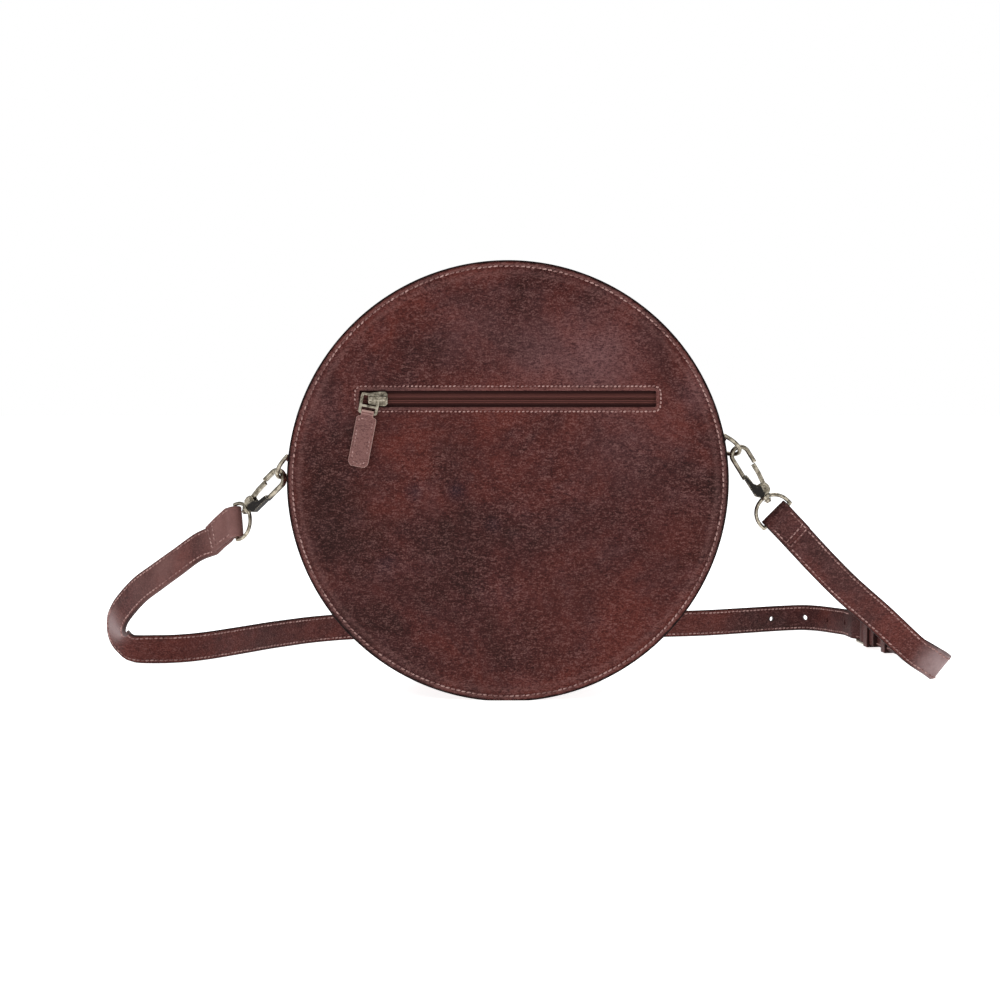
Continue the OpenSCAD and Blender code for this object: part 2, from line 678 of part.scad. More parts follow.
// Strap frames hold a middle point and a direction across the strap.
// A route row gives shares of the panel's radius for x, y and the height of the lower edge,
// and then the direction across the strap.
function route_frame(r) = let (w = unit([r[3], r[4], r[5]]))
    concat([r[0] * panel_r, r[1] * panel_r, r[2] * panel_r + abs(w[2]) * strap_w / 2], w);

// Catmull-Rom curve through the frames
function curve(a, b, c, d, t) = 0.5 * (2 * b + (c - a) * t + (2 * a - 5 * b + 4 * c - d) * t * t
    + (3 * b - a - 3 * c + d) * t * t * t);
function smooth(f, n) = [for (i = [0:len(f) - 2]) for (k = [0:n - 1])
    curve(at(f, i - 1), f[i], f[i + 1], at(f, i + 2), k / n), f[len(f) - 1]];

left_route_shares = [
    [-1.495, 0.285, 0.598, -0.44, 0.60, 0.67],
    [-1.603, 0.335, 0.530, -0.55, 0.62, 0.56], [-1.706, 0.392, 0.456, -0.55, 0.61, 0.57],
    [-1.812, 0.464, 0.378, -0.56, 0.60, 0.57], [-1.906, 0.555, 0.283, -0.58, 0.60, 0.55],
    [-1.950, 0.623, 0.226, -0.60, 0.65, 0.46], [-1.972, 0.700, 0.188, -0.62, 0.73, 0.26],
    [-1.978, 0.777, 0.150, -0.61, 0.76, -0.10], [-1.966, 0.840, 0.075, -0.45, 0.66, -0.60],
    [-1.932, 0.864, 0.016, -0.20, 0.39, -0.90], [-1.882, 0.868, 0.000, -0.05, 0.10, -1.00],
    [-1.810, 0.862, 0.000, 0, 0, -1], [-1.727, 0.872, 0.000, 0, 0, -1],
    [-1.636, 0.918, 0.000, 0, 0, -1], [-1.545, 1.010, 0.000, 0, 0, -1],
    [-1.455, 1.136, 0.000, 0, 0, -1], [-1.368, 1.264, 0.000, 0, 0, -1],
    [-1.277, 1.400, 0.000, 0, 0, -1], [-1.182, 1.518, 0.000, 0, 0, -1],
    [-1.073, 1.640, 0.000, 0, 0, -1], [-0.910, 1.755, 0.000, 0, 0, -1],
    [-0.680, 1.835, 0.000, 0, 0, -1], [-0.410, 1.865, 0.000, 0, 0, -1],
    [-0.140, 1.865, 0.000, 0, 0, -1], [0.140, 1.850, 0.000, 0, 0, -1],
    [0.410, 1.842, 0.000, 0, 0, -1], [0.680, 1.852, 0.000, 0, 0, -1],
    [0.910, 1.885, 0.000, 0, 0, -1], [1.136, 1.941, 0.000, 0, 0, -1],
    [1.364, 2.045, 0.000, 0, 0, -1], [1.545, 2.132, 0.000, 0, 0, -1],
    [1.655, 2.173, 0.000, 0, 0, -1], [1.718, 2.177, 0.001, 0, 0, -1],
    [1.773, 2.127, 0.004, 0, 0, -1], [1.823, 2.018, 0.010, 0, 0, -1]
];
right_route_shares = [
    [2.072, 0.790, 0.012, 0.12, 0, 1], [2.090, 0.640, 0.005, 0.30, 0, 0.95],
    [2.108, 0.500, 0.000, 0.46, 0, 0.89], [2.118, 0.410, 0.000, 0.58, 0, 0.82],
    [2.116, 0.358, 0.000, 0.62, 0, 0.78], [2.098, 0.330, 0.005, 0.64, 0, 0.77],
    [2.058, 0.312, 0.034, 0.65, 0, 0.76], [1.965, 0.285, 0.098, 0.65, 0, 0.76],
    [1.800, 0.232, 0.249, 0.65, 0, 0.76], [1.625, 0.165, 0.400, 0.65, 0, 0.76],
    [1.495, 0.105, 0.525, 0.65, 0, 0.76]
];

// Buckle frame: x runs from the bar along the short strap, y points out of the strap's loop
buckle_place_share = [1.961, 1.524];
buckle_turn = -82.5;
buckle_play = 0.3;
buckle_half = strap_w / 2 + buckle_play + buckle_wire / 2;
buckle_z = buckle_half + buckle_wire / 2 + ply_gap;
module at_buckle() {
    translate([buckle_place_share[0] * panel_r, buckle_place_share[1] * panel_r, buckle_z])
        rotate([0, 0, buckle_turn]) children();
}
function buckle_point(x, y) = [buckle_place_share[0] * panel_r + x * cos(buckle_turn) - y * sin(buckle_turn),
    buckle_place_share[1] * panel_r + x * sin(buckle_turn) + y * cos(buckle_turn), buckle_z];

// The short strap wraps the bar; the long strap goes under the crosspiece and over the bar
bar_wrap = buckle_wire / 2 + run_gap + strap_t / 2;
shut_half = (strap_t + ply_gap) / 2;
over_wrap = bar_wrap + strap_t + ply_gap;
over_shut = shut_half + strap_t + ply_gap;
// Slack under the crosspiece, so that the frame can tilt a little
cross_slack = 0.8;
cross_wrap = bar_wrap + cross_slack;
ramp = asin((cross_wrap + over_wrap) / buckle_l);
short_fold = fold_l + 5;
short_start = [for (p = concat(
    [[short_fold, -shut_half], [bar_wrap + strap_t * 2, -shut_half], [strap_t / 2, -bar_wrap]],
    [for (a = [0:30:180]) [-bar_wrap * sin(a), -bar_wrap * cos(a)]],
    [[strap_t / 2, bar_wrap], [bar_wrap + strap_t * 2, shut_half], [short_fold, shut_half],
        [(short_fold + tip_l) / 2, shut_half], [tip_l, shut_half]])) concat(buckle_point(p[0], p[1]), [0, 0, 1])];
long_end = [for (p = concat(
    [[-buckle_l * 1.9, -cross_wrap], [-buckle_l * 1.3, -cross_wrap]],
    [for (a = [0, ramp / 2, ramp]) [-buckle_l + cross_wrap * sin(a), -cross_wrap * cos(a)]],
    [for (a = [ramp, ramp / 2, 0]) [-over_wrap * sin(a), over_wrap * cos(a)]],
    [[strap_t / 2, over_wrap], [bar_wrap + strap_t * 2, over_shut], [tip_l * 0.5, over_shut],
        [tip_l - strap_w * 0.5, over_shut]])) concat(buckle_point(p[0], p[1]), [0, 0, -1])];
tip_frames = [for (s = [0.35, 0.1, 0]) concat(buckle_point(tip_l - strap_w * s, over_shut), [0, 0, -1])];
tip_width_shares = [0.86, 0.56, 0.3];

long_route = concat([end_frames(left)[len(end_frames(left)) - 1]],
    [for (r = left_route_shares) route_frame(r)], [long_end[0]]);
long_frames = concat(end_frames(left), [for (i = [1:len(smooth(long_route, 2)) - 2]) smooth(long_route, 2)[i]],
    long_end, tip_frames);
right_end = end_frames(right);
short_route = concat([short_start[len(short_start) - 1]], [for (r = right_route_shares) route_frame(r)],
    [right_end[len(right_end) - 1]]);
short_frames = concat(short_start, [for (i = [1:len(smooth(short_route, 2)) - 2]) smooth(short_route, 2)[i]],
    [for (i = [len(right_end) - 1:-1:0]) right_end[i]]);

function frame_run(f, i) = unit(first3(at(f, i + 1)) - first3(at(f, i - 1)));
function frame_across(f, i) = let (t = frame_run(f, i), w = last3(f[i])) w / norm(cross(t, w));
function frame_out(f, i) = unit(cross(frame_run(f, i), last3(f[i])));

// Strap section: a flat bar with its edges eased, as shares of half width and of half thickness
edge_ease = 0.5;
function section(width) = let (a = width / 2, b = strap_t / 2, e = min(edge_ease, width / 4))
    [[a, b - e], [a - e, b], [-a + e, b], [-a, b - e], [-a, -b + e], [-a + e, -b], [a - e, -b], [a, -b + e]];
module ribbon(f, widths) {
    n = 8;
    rings = [for (i = [0:len(f) - 1]) for (p = section(strap_w * widths[i]))
        first3(f[i]) + p[0] * frame_across(f, i) + p[1] * frame_out(f, i)];
    last = (len(f) - 1) * n;
    sides = [for (i = [0:len(f) - 2]) for (k = [0:n - 1]) for (tri = [0, 1])
        let (a = i * n + k, b = i * n + (k + 1) % n)
            tri == 0 ? [a, b + n, b] : [a, a + n, b + n]];
    polyhedron(points = rings, faces = concat(sides,
        [[for (k = [0:n - 1]) k], [for (k = [n - 1:-1:0]) last + k]]));
}

// Holes: distance along the strap, counted from the hole that holds the prong
function run_lengths(f) = [for (i = 0, s = 0; i < len(f);
    s = s + norm(first3(at(f, i + 1)) - first3(f[i])), i = i + 1) s];
long_lengths = run_lengths(long_frames);
prong_index = len(long_frames) - len(tip_frames) - len(long_end) + 5;
prong_at = long_lengths[prong_index] - buckle_l * 0.35;
function place_at(s) = let (i = len([for (l = long_lengths) if (l < s) 1]) - 1,
    k = (s - long_lengths[i]) / (long_lengths[i + 1] - long_lengths[i]))
    [first3(long_frames[i]) * (1 - k) + first3(long_frames[i + 1]) * k, frame_out(long_frames, i)];
module punched_hole(s) {
    p = place_at(s);
    rod(p[0] - p[1] * strap_t, p[0] + p[1] * strap_t, hole_d);
}

prong_t = 1.6;
prong_angle = atan((buckle_wire / 2 + prong_t / 2 + pin_gap) / buckle_l);
module strap_long() {
    widths = concat([for (i = [1:len(long_frames) - len(tip_frames)]) 1], tip_width_shares);
    color(hide) difference() {
        ribbon(long_frames, widths);
        for (k = [-4, -3, -2, -1, 1, 2]) punched_hole(prong_at + k * hole_pitch);
        at_buckle() rod([-bar_wrap, 0, 0], [-buckle_l * cos(prong_angle), 0, 0]
            + [0, buckle_l * sin(prong_angle), 0], hole_d);
    }
}
module strap_short() {
    color(hide) difference() {
        ribbon(short_frames, [for (f = short_frames) 1]);
        at_buckle() translate([-bar_wrap - strap_t, -bar_wrap - strap_t, -prong_w / 2 - run_gap * 2])
            cube([bar_wrap + strap_t * 2, (bar_wrap + strap_t) * 2, prong_w + run_gap * 4]);
    }
}

// Buckle: four wires round a window, with the prong on the bar
module buckle_frame() {
    color(brass) at_buckle() for (s = [left, right]) {
        rod([0, 0, s * buckle_half], [-buckle_l, 0, s * buckle_half], buckle_wire);
        translate([0, 0, s * buckle_half]) sphere(d = buckle_wire, $fn = small_fn);
        translate([-buckle_l, 0, s * buckle_half]) sphere(d = buckle_wire, $fn = small_fn);
        x = s < 0 ? 0 : -buckle_l;
        rod([x, 0, -buckle_half], [x, 0, buckle_half], buckle_wire);
    }
}
prong_w = 2.6;
module buckle_prong() {
    prong_l = buckle_l + buckle_wire * 0.8;
    color(brass) at_buckle() rotate([0, 0, -prong_angle]) difference() {
        union() {
            cylinder(d = buckle_wire + prong_t + pin_gap * 2, h = prong_w, center = true, $fn = small_fn);
            rod([-buckle_wire * 0.6, 0, 0], [-prong_l, 0, 0], prong_t);
            translate([-prong_l, 0, 0]) sphere(d = prong_t, $fn = small_fn);
        }
        cylinder(d = buckle_wire + pin_gap * 2, h = prong_w * 2, center = true, $fn = small_fn);
    }
}

// Keepers: leather bands round the straps, the first sewn in place and the second free to slide
module keeper(x, low, high) {
    inner_z = strap_w / 2 + ply_gap;
    color(hide) at_buckle() translate([x, 0, 0]) difference() {
        translate([0, low - keeper_t, -inner_z - keeper_t])
            cube([keeper_w, high - low + keeper_t * 2, (inner_z + keeper_t) * 2]);
        translate([-cut, low, -inner_z]) cube([keeper_w + cut * 2, high - low, inner_z * 2]);
    }
}
keeper_top = over_shut + strap_t / 2 + ply_gap;
fixed_keeper_x = bar_wrap + strap_t * 2 + ply_gap;
slide_keeper_x = short_fold + keeper_w * 1.5;
module fixed_keeper() { keeper(fixed_keeper_x, -shut_half - strap_t / 2 - ply_gap, keeper_top); }
module slide_keeper() { keeper(slide_keeper_x, shut_half - strap_t / 2 - ply_gap, keeper_top); }

pocket_panel();
plain_panel();
pocket_board();
plain_board();
pocket_lining();
plain_lining();
gusset_base();
gusset_top_front();
gusset_top_back();
gusset_lining();
pocket_pouch();
pocket_zip_tape();
pocket_zip_coil();
pocket_slider();
pocket_link();
pocket_tab();
main_zip_tape();
main_zip_coil();
main_zip_stops();
main_slider();
main_link();
main_tab();
ring_tab_left();
ring_tab_right();
ring_left();
ring_right();
hook_left();
hook_right();
gate_left();
gate_right();
gate_pin_left();
gate_pin_right();
gate_spring_left();
gate_spring_right();
swivel_rivet_left();
swivel_rivet_right();
swivel_loop_left();
swivel_loop_right();
strap_long();
strap_short();
fixed_keeper();
slide_keeper();
buckle_frame();
buckle_prong();
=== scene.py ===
"""Round leather shoulder bag that stands on its rim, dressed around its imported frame."""

import json
import math
import random

import bmesh
import bpy
import numpy as np
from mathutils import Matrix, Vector, noise


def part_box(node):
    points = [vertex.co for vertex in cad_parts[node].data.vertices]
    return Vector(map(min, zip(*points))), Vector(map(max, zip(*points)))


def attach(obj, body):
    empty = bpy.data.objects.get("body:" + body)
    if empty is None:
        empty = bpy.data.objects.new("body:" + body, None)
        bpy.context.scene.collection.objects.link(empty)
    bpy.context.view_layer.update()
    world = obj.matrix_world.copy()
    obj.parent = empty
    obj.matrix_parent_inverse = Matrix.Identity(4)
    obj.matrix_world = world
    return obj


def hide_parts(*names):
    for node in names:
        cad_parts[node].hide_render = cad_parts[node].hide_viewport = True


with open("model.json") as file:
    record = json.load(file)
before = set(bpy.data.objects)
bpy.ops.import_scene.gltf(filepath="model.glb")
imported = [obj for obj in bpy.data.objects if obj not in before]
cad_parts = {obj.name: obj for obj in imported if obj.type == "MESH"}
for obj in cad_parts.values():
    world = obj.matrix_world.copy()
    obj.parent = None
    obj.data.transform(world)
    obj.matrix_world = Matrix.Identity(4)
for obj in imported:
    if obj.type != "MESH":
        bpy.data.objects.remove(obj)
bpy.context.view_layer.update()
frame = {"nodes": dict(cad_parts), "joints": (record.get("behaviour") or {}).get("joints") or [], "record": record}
joints = {joint["name"]: joint for joint in frame["joints"]}
random.seed(7)

# Sizes in millimetres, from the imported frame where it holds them
MM = 0.001


def box_mm(node):
    return [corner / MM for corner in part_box(node)]


def joint_at(name):
    return np.array(joints[name]["pos_m"]) / MM


panel_low, panel_high = box_mm("pocket_panel")
coil_low, coil_high = box_mm("pocket_zip_coil")
tape_low, tape_high = box_mm("pocket_zip_tape")
PANEL_R = (panel_high.x - panel_low.x) / 2
CENTRE_Z = panel_high.z - PANEL_R
FACE_Y = -panel_low.y
LEATHER_T = panel_high.y - panel_low.y
SLOT_L = coil_high.x - coil_low.x
SLOT_Z = (coil_low.z + coil_high.z) / 2
SLOT_H = 8
SEAM_W = 5
GUSSET_T = 1.6
GUSSET_OUT = PANEL_R - SEAM_W
GUSSET_IN = GUSSET_OUT - GUSSET_T
ZIP_END_ANGLE = 28
ZIP_GAP = 8
STITCH_R = PANEL_R - 2.9

STITCH_PITCH = 2.7
STITCH_L = 2.4
THREAD_R = 0.42
STITCH_DRIFT = 0.08


# Helpers for shapes

def unit(v):
    """A direction, or one in each row, made 1 long."""
    v = np.asarray(v, float)
    return v / np.linalg.norm(v, axis=-1, keepdims=True)


def full_turn(count):
    return np.linspace(0, 2 * math.pi, count, endpoint=False)


def outward(turns):
    """Directions away from the bag's axis."""
    turns = np.asarray(turns, float)
    return np.stack([np.cos(turns), np.zeros_like(turns), np.sin(turns)], -1)


def around(r, turns, y):
    """Points round the bag's axis at radius r and depth y, one for each turn."""
    points = r * outward(turns)
    points[..., 1] += y
    points[..., 2] += CENTRE_Z
    return points


def loft(rings, closed=False, caps=True):
    """Points and faces between rings of points, each ring a closed loop."""
    rings = np.asarray(rings, float)
    n, m = rings.shape[:2]
    spans = n if closed else n - 1
    i, k = np.meshgrid(np.arange(spans), np.arange(m), indexing="ij")
    a, b = i * m + k, i * m + (k + 1) % m
    c, d = ((i + 1) % n) * m + (k + 1) % m, ((i + 1) % n) * m + k
    faces = np.stack([a, b, c, d], -1).reshape(-1, 4).tolist()
    if caps and not closed:
        faces.append(list(range(m - 1, -1, -1)))
        faces.append([(n - 1) * m + k for k in range(m)])
    return rings.reshape(-1, 3), faces


def join(parts):
    """Several shapes as one list of points and faces."""
    points, faces, start = [], [], 0
    for some_points, some_faces in parts:
        points.append(some_points)
        faces += [[v + start for v in face] for face in some_faces]
        start += len(some_points)
    return np.concatenate(points), faces


def in_scene(name, data):
    made = bpy.data.objects.new(name, data)
    bpy.context.scene.collection.objects.link(made)
    return made


def mesh_of(name, points, faces):
    """A mesh from points in millimetres."""
    mesh = bpy.data.meshes.new(name)
    mesh.from_pydata((np.asarray(points, float) * MM).tolist(), [], faces)
    return mesh


def settled(thing):
    """A new mesh of a thing with its modifiers applied."""
    bpy.context.view_layer.update()
    graph = bpy.context.evaluated_depsgraph_get()
    return bpy.data.meshes.new_from_object(thing.evaluated_get(graph), depsgraph=graph)


def keep_values(mesh, name, values):
    """Stores one number a point, which a material reads by its name."""
    layer = mesh.attributes.new(name, "FLOAT", "POINT")
    layer.data.foreach_set("value", np.asarray(values, np.float32))


def piece(name, shape, material, body="bag", replaces=(), sharp=40, paint_and_shade=None):
    """A mesh object in millimetres that rides on a body and stands for some nodes."""
    mesh = mesh_of(name, *shape)
    mesh.materials.append(material)
    work = bmesh.new()
    work.from_mesh(mesh)
    bmesh.ops.recalc_face_normals(work, faces=work.faces)
    work.to_mesh(mesh)
    work.free()
    if paint_and_shade is not None:
        keep_values(mesh, "paint_and_shade", paint_and_shade)
    mesh.shade_smooth()
    mesh.set_sharp_from_angle(angle=math.radians(sharp))
    made = in_scene(name, mesh)
    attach(made, body)
    if replaces:
        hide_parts(*replaces)
    return made


def smoothstep(low, high, value):
    t = np.clip((value - low) / (high - low), 0, 1)
    return t * t * (3 - 2 * t)


# Materials

def srgb(*levels):
    """A colour given in screen levels of 0 to 255."""
    linear = [(v / 255 / 12.92) if v <= 10 else ((v / 255 + 0.055) / 1.055) ** 2.4 for v in levels]
    return (*linear, 1)


class Tree:
    """A material's nodes, with short calls that add and join them."""

    def __init__(self, name):
        self.material = bpy.data.materials.new(name)
        self.material.use_nodes = True
        self.nodes = self.material.node_tree.nodes
        self.nodes.clear()
        self.shader = self.add("BsdfPrincipled")
        self.add("OutputMaterial", inputs={"Surface": self.shader.outputs[0]})
        self.place = self.add("TexCoord", "Object")

    def add(self, kind, output=None, inputs=None, **settings):
        """Adds a node with its inputs filled. Gives back the named output, or else the node."""
        node = self.nodes.new("ShaderNode" + kind)
        for key, value in settings.items():
            setattr(node, key, value)
        for key, value in (inputs or {}).items():
            self.put(node.inputs[key], value)
        return node if output is None else node.outputs[output]

    def put(self, target, value):
        """Joins a socket to another one, or gives it a fixed value."""
        if isinstance(value, bpy.types.NodeSocket):
            self.material.node_tree.links.new(value, target)
        else:
            target.default_value = value

    def finish(self, **sockets):
        """Fills the shader's sockets and gives the material."""
        for name, value in sockets.items():
            self.put(self.shader.inputs[name.replace("_", " ")], value)
        return self.material

    def stretched(self, x, y, z):
        return self.add("Mapping", 0, {"Vector": self.place, "Scale": (x, y, z)})

    def noise(self, scale, detail=3, roughness=0.5, distortion=0, place=None):
        inputs = {"Vector": place or self.place, "Scale": scale, "Detail": detail}
        return self.add("TexNoise", 0, inputs | {"Roughness": roughness, "Distortion": distortion})

    def cracks(self, place):
        inputs = {"Vector": place, "Scale": 1}
        return self.add("TexVoronoi", "Distance", inputs, feature="DISTANCE_TO_EDGE")

    def waves(self, scale, direction="X", distortion=0):
        inputs = {"Vector": self.place, "Scale": scale, "Distortion": distortion}
        return self.add("TexWave", "Fac", inputs, bands_direction=direction)

    def math(self, operation, a, b=0.0):
        return self.add("Math", 0, {0: a, 1: b}, operation=operation)

    def times(self, a, b):
        return self.math("MULTIPLY", a, b)

    def plus(self, a, b):
        return self.math("ADD", a, b)

    def range(self, value, low, high, to_low=0.0, to_high=1.0):
        inputs = dict(enumerate((value, low, high, to_low, to_high)))
        return self.add("MapRange", 0, inputs, interpolation_type="SMOOTHSTEP")

    def mix(self, factor, a, b, blend="MIX"):
        return self.add("Mix", 2, {0: factor, 6: a, 7: b}, data_type="RGBA", blend_type=blend)

    def ramp(self, factor, *stops):
        node = self.add("ValToRGB", inputs={0: factor})
        elements = node.color_ramp.elements
        while len(elements) < len(stops):
            elements.new(0.5)
        for element, (place, colour) in zip(elements, stops):
            element.position = place
            element.color = colour
        return node.outputs[0]

    def attribute(self, name):
        return self.add("Attribute", "Fac", attribute_name=name)

    def away(self, point, place=None):
        """Distance from a point, in metres."""
        inputs = {0: place or self.place, 1: point}
        return self.add("VectorMath", "Value", inputs, operation="DISTANCE")

    def away_on_panel(self, x=0, z=0):
        """Distance from a place on the front or back panel, whatever the depth."""
        flat = self.add("VectorMath", 0, {0: self.place, 1: (1, 0, 1)}, operation="MULTIPLY")
        return self.away((x * MM, 0, (CENTRE_Z + z) * MM), flat)

    def spot(self, x, z, radius, soft, warp):
        """A soft round patch on the panels, its edge pushed about by a noise."""
        reach = self.plus(self.away_on_panel(x, z), self.times(warp, soft * MM))
        return self.range(reach, (radius + soft) * MM, radius * MM * 0.2)

    def ring(self, radius, width):
        """A soft ring about the middle of the panels."""
        off = self.math("ABSOLUTE", self.math("SUBTRACT", self.away_on_panel(), radius * MM))
        return self.range(off, width * MM, 0)

    def bump(self, height, distance, strength=1.0, **normal):
        inputs = {"Strength": strength, "Distance": distance, "Height": height}
        return self.add("Bump", 0, inputs | normal)


HIDE_DARK = srgb(38, 16, 15)
HIDE_MID = srgb(61, 27, 26)
HIDE_RED = srgb(85, 36, 30)
HIDE_MAUVE = srgb(100, 68, 69)
HIDE_BLUE = srgb(36, 22, 32)
HIDE_PALE = srgb(130, 94, 90)
EDGE_PAINT = srgb(17, 10, 10)
# Patches on the panel: x and height over its centre, radius and soft edge, strength. The mauve ones are painted
# sheen, where the panel's gloss catches the light
DARK_SPOTS = [
    (-92, 4, 16, 18, 0.85), (-88, -24, 26, 24, 0.95), (-66, -28, 16, 18, 0.75), (-30, 16, 14, 14, 0.6),
    (-84, -10, 20, 18, 0.6), (-40, 66, 16, 18, 0.35), (12, -86, 16, 16, 0.3), (28, -52, 20, 22, 0.25),
]
MAUVE_SHEEN_SPOTS = [
    (46, 64, 24, 28, 0.85), (16, 62, 20, 26, 0.7), (94, 46, 12, 14, 0.5), (-20, 78, 18, 26, 0.35),
    (-92, 36, 12, 18, 0.4), (60, 20, 26, 30, 0.3),
]
BLUE_SPOTS = [(-26, -4, 5, 6, 0.8), (-46, -5, 4, 6, 0.7), (-7, -21, 4, 6, 0.6), (-60, -40, 5, 8, 0.6)]
RED_SPOTS = [(84, -28, 20, 24, 0.6), (-34, -8, 10, 12, 0.5), (6, 4, 16, 18, 0.4), (20, -70, 30, 26, 0.4)]
TONE_AND_SHEEN_PATCHES = [
    (DARK_SPOTS, HIDE_DARK), (RED_SPOTS, HIDE_RED), (MAUVE_SHEEN_SPOTS, HIDE_MAUVE), (BLUE_SPOTS, HIDE_BLUE),
]
# Rings on the panel: radius, width, strength, tone. The pale line inside the painted edge is part rubbed leather
# and part painted highlight; the wider pale band is a painted highlight where the panel rolls back; the dark line
# is painted shade in the stitch groove
PANEL_LIGHT_AND_SHADE_RINGS = [
    (PANEL_R - 2.1, 0.9, 0.36, HIDE_PALE), (PANEL_R - 6.2, 2.4, 0.16, HIDE_PALE),
    (STITCH_R, 0.55, 0.45, HIDE_DARK),
]


def grain_heights(t, grain):
    """Fine specks and short wavy streaks of leather grain, about 0 to 1."""
    streaks = t.noise(1, 3, 0.6, 0.9, t.stretched(380, 900, 1000))
    specks = t.noise(1, 2, 0.6, 0.2, t.stretched(1250, 1400, 1500))
    cracks = t.range(t.cracks(t.stretched(420, 700, 760)), 0.0, 0.16)
    height = t.plus(t.times(streaks, 0.55), t.times(specks, 0.5))
    return t.plus(height, t.times(cracks, 0.06 * grain))


def leather(name, panel=False, pale=0.0, grain=1.0, pale_and_sheen_spots=(), edge=EDGE_PAINT):
    """Grained, hand-antiqued leather with a dark painted edge where the paint_and_shade attribute says."""
    t = Tree(name)
    clouds = t.noise(15, 5, 0.65, 0.5)
    small_clouds = t.noise(75, 4, 0.65, 0.6)
    colour = t.ramp(clouds, (0.32, HIDE_DARK), (0.46, HIDE_MID), (0.60, HIDE_RED), (0.74, HIDE_MID))
    if panel:
        warp = t.noise(45, 4, 0.65)
        # Patches of tone, and mauve patches of painted sheen
        for spots, tone in TONE_AND_SHEEN_PATCHES:
            for x, z, radius, soft, strength in spots:
                colour = t.mix(t.times(t.spot(x, z, radius, soft, warp), strength), colour, tone)
    colour = t.mix(t.range(small_clouds, 0.46, 0.74, 0.0, 0.22), colour, HIDE_MAUVE)
    colour = t.mix(t.range(t.noise(120, 3, 0.6, 0.5), 0.36, 0.26, 0.0, 0.35), colour, HIDE_DARK)
    # Painted highlight and painted shade in rings near the rim
    for radius, width, strength, tone in PANEL_LIGHT_AND_SHADE_RINGS if panel else ():
        colour = t.mix(t.times(t.ring(radius, width), strength), colour, tone)
    if pale:
        colour = t.mix(pale, colour, HIDE_PALE)
    height = grain_heights(t, grain)
    rough_places = t.range(t.noise(34, 3, 0.6, 0.4), 0.36, 0.66, 0.75, 1.0)
    darker = t.times(t.range(height, 0.57, 0.44, 0.0, 0.92), rough_places)
    lighter = t.times(t.range(height, 0.56, 0.70, 0.0, 0.42), rough_places)
    colour = t.mix(darker, colour, (0.36, 0.30, 0.34, 1), "MULTIPLY")
    colour = t.mix(lighter, colour, HIDE_PALE)
    paint_and_shade = t.attribute("paint_and_shade")
    colour = t.mix(paint_and_shade, colour, edge)
    # Pale places and painted sheen on the strap, laid over the edge paint
    for middle, radius, strength, tone in pale_and_sheen_spots:
        patch = t.range(t.away(middle), radius * MM, radius * MM * 0.2, 0.0, strength)
        colour = t.mix(t.times(patch, t.range(small_clouds, 0.3, 0.6, 0.6, 1.0)), colour, tone)
    lumps = t.bump(t.noise(130, 3), 0.0006, 0.5)
    return t.finish(Base_Color=colour, Roughness=t.range(small_clouds, 0.3, 0.7, 0.46, 0.6),
        Specular_IOR_Level=t.range(paint_and_shade, 0, 1, 0.14, 0.06), Specular_Tint=(1.0, 0.78, 0.74, 1),
        Normal=t.bump(height, 0.0004 * grain, 0.8, Normal=lumps))


def thread_material():
    t = Tree("thread")
    strands = t.waves(2600, "DIAGONAL", 1.5)
    colour = t.mix(t.range(t.noise(330, 3), 0.38, 0.62), srgb(126, 86, 82), srgb(188, 150, 144))
    colour = t.mix(t.range(strands, 0.2, 0.8, 0.35, 0.0), colour, srgb(96, 62, 56))
    normal = t.bump(strands, 0.00012, 0.6)
    return t.finish(Base_Color=colour, Roughness=0.62, Specular_IOR_Level=0.3, Normal=normal)


def antique_brass(name, dark=0.0):
    """Olive-grey brass with black patina in its hollows, and black where the soot_and_shade attribute is high,
    which on the hooks holds painted shade as well.
    """
    t = Tree(name)
    blotch = t.noise(260, 5, 0.65)
    fine = t.noise(1500, 3, 0.6)
    metal = t.mix(t.range(t.noise(420, 4, 0.65), 0.36, 0.64), srgb(112, 104, 90), srgb(182, 173, 156))
    soot_and_shade = t.plus(t.attribute("soot_and_shade"), dark)
    patina = t.range(t.plus(blotch, soot_and_shade), 0.55, 0.84)
    colour = t.mix(patina, metal, srgb(26, 22, 19))
    roughness = t.plus(t.range(fine, 0.3, 0.7, 0.26, 0.4), t.times(patina, 0.2))
    normal = t.bump(t.plus(blotch, t.times(fine, 0.4)), 0.00012, 0.35)
    metallic = t.range(patina, 0.0, 1.0, 1.0, 0.55)
    return t.finish(Base_Color=colour, Metallic=metallic, Roughness=roughness, Normal=normal)


def tape_material():
    t = Tree("zip_tape")
    ribs = t.waves(520, "X", 0.4)
    rows = t.waves(300, "Z", 0.6)
    colour = t.mix(rows, srgb(56, 26, 24), srgb(98, 58, 52))
    colour = t.mix(t.times(ribs, 0.3), colour, srgb(48, 24, 22))
    # Painted shade: the flat tape beside the bead goes dark, where the edges of the slot and the gusset shade it
    colour = t.mix(t.attribute("paint_and_shade"), colour, srgb(42, 17, 16))
    normal = t.bump(t.plus(ribs, rows), 0.0002, 0.6)
    return t.finish(Base_Color=colour, Roughness=0.75, Specular_IOR_Level=0.12, Normal=normal)


def coil_material():
    t = Tree("zip_coil")
    colour = t.mix(t.noise(400, 2), srgb(46, 22, 19), srgb(70, 38, 32))
    return t.finish(Base_Color=colour, Roughness=t.range(t.noise(900, 2), 0.3, 0.7, 0.3, 0.42))


def cloth_material():
    t = Tree("lining_cloth")
    weave = t.math("MAXIMUM", t.waves(900, "X", 0.5), t.waves(900, "Z", 0.5))
    colour = t.mix(weave, srgb(96, 74, 56), srgb(142, 116, 92))
    colour = t.mix(t.range(t.noise(40, 3), 0.3, 0.8, 0.0, 0.3), colour, srgb(84, 62, 46))
    normal = t.bump(weave, 0.0002, 0.5)
    return t.finish(Base_Color=colour, Roughness=0.85, Specular_IOR_Level=0.2, Normal=normal)


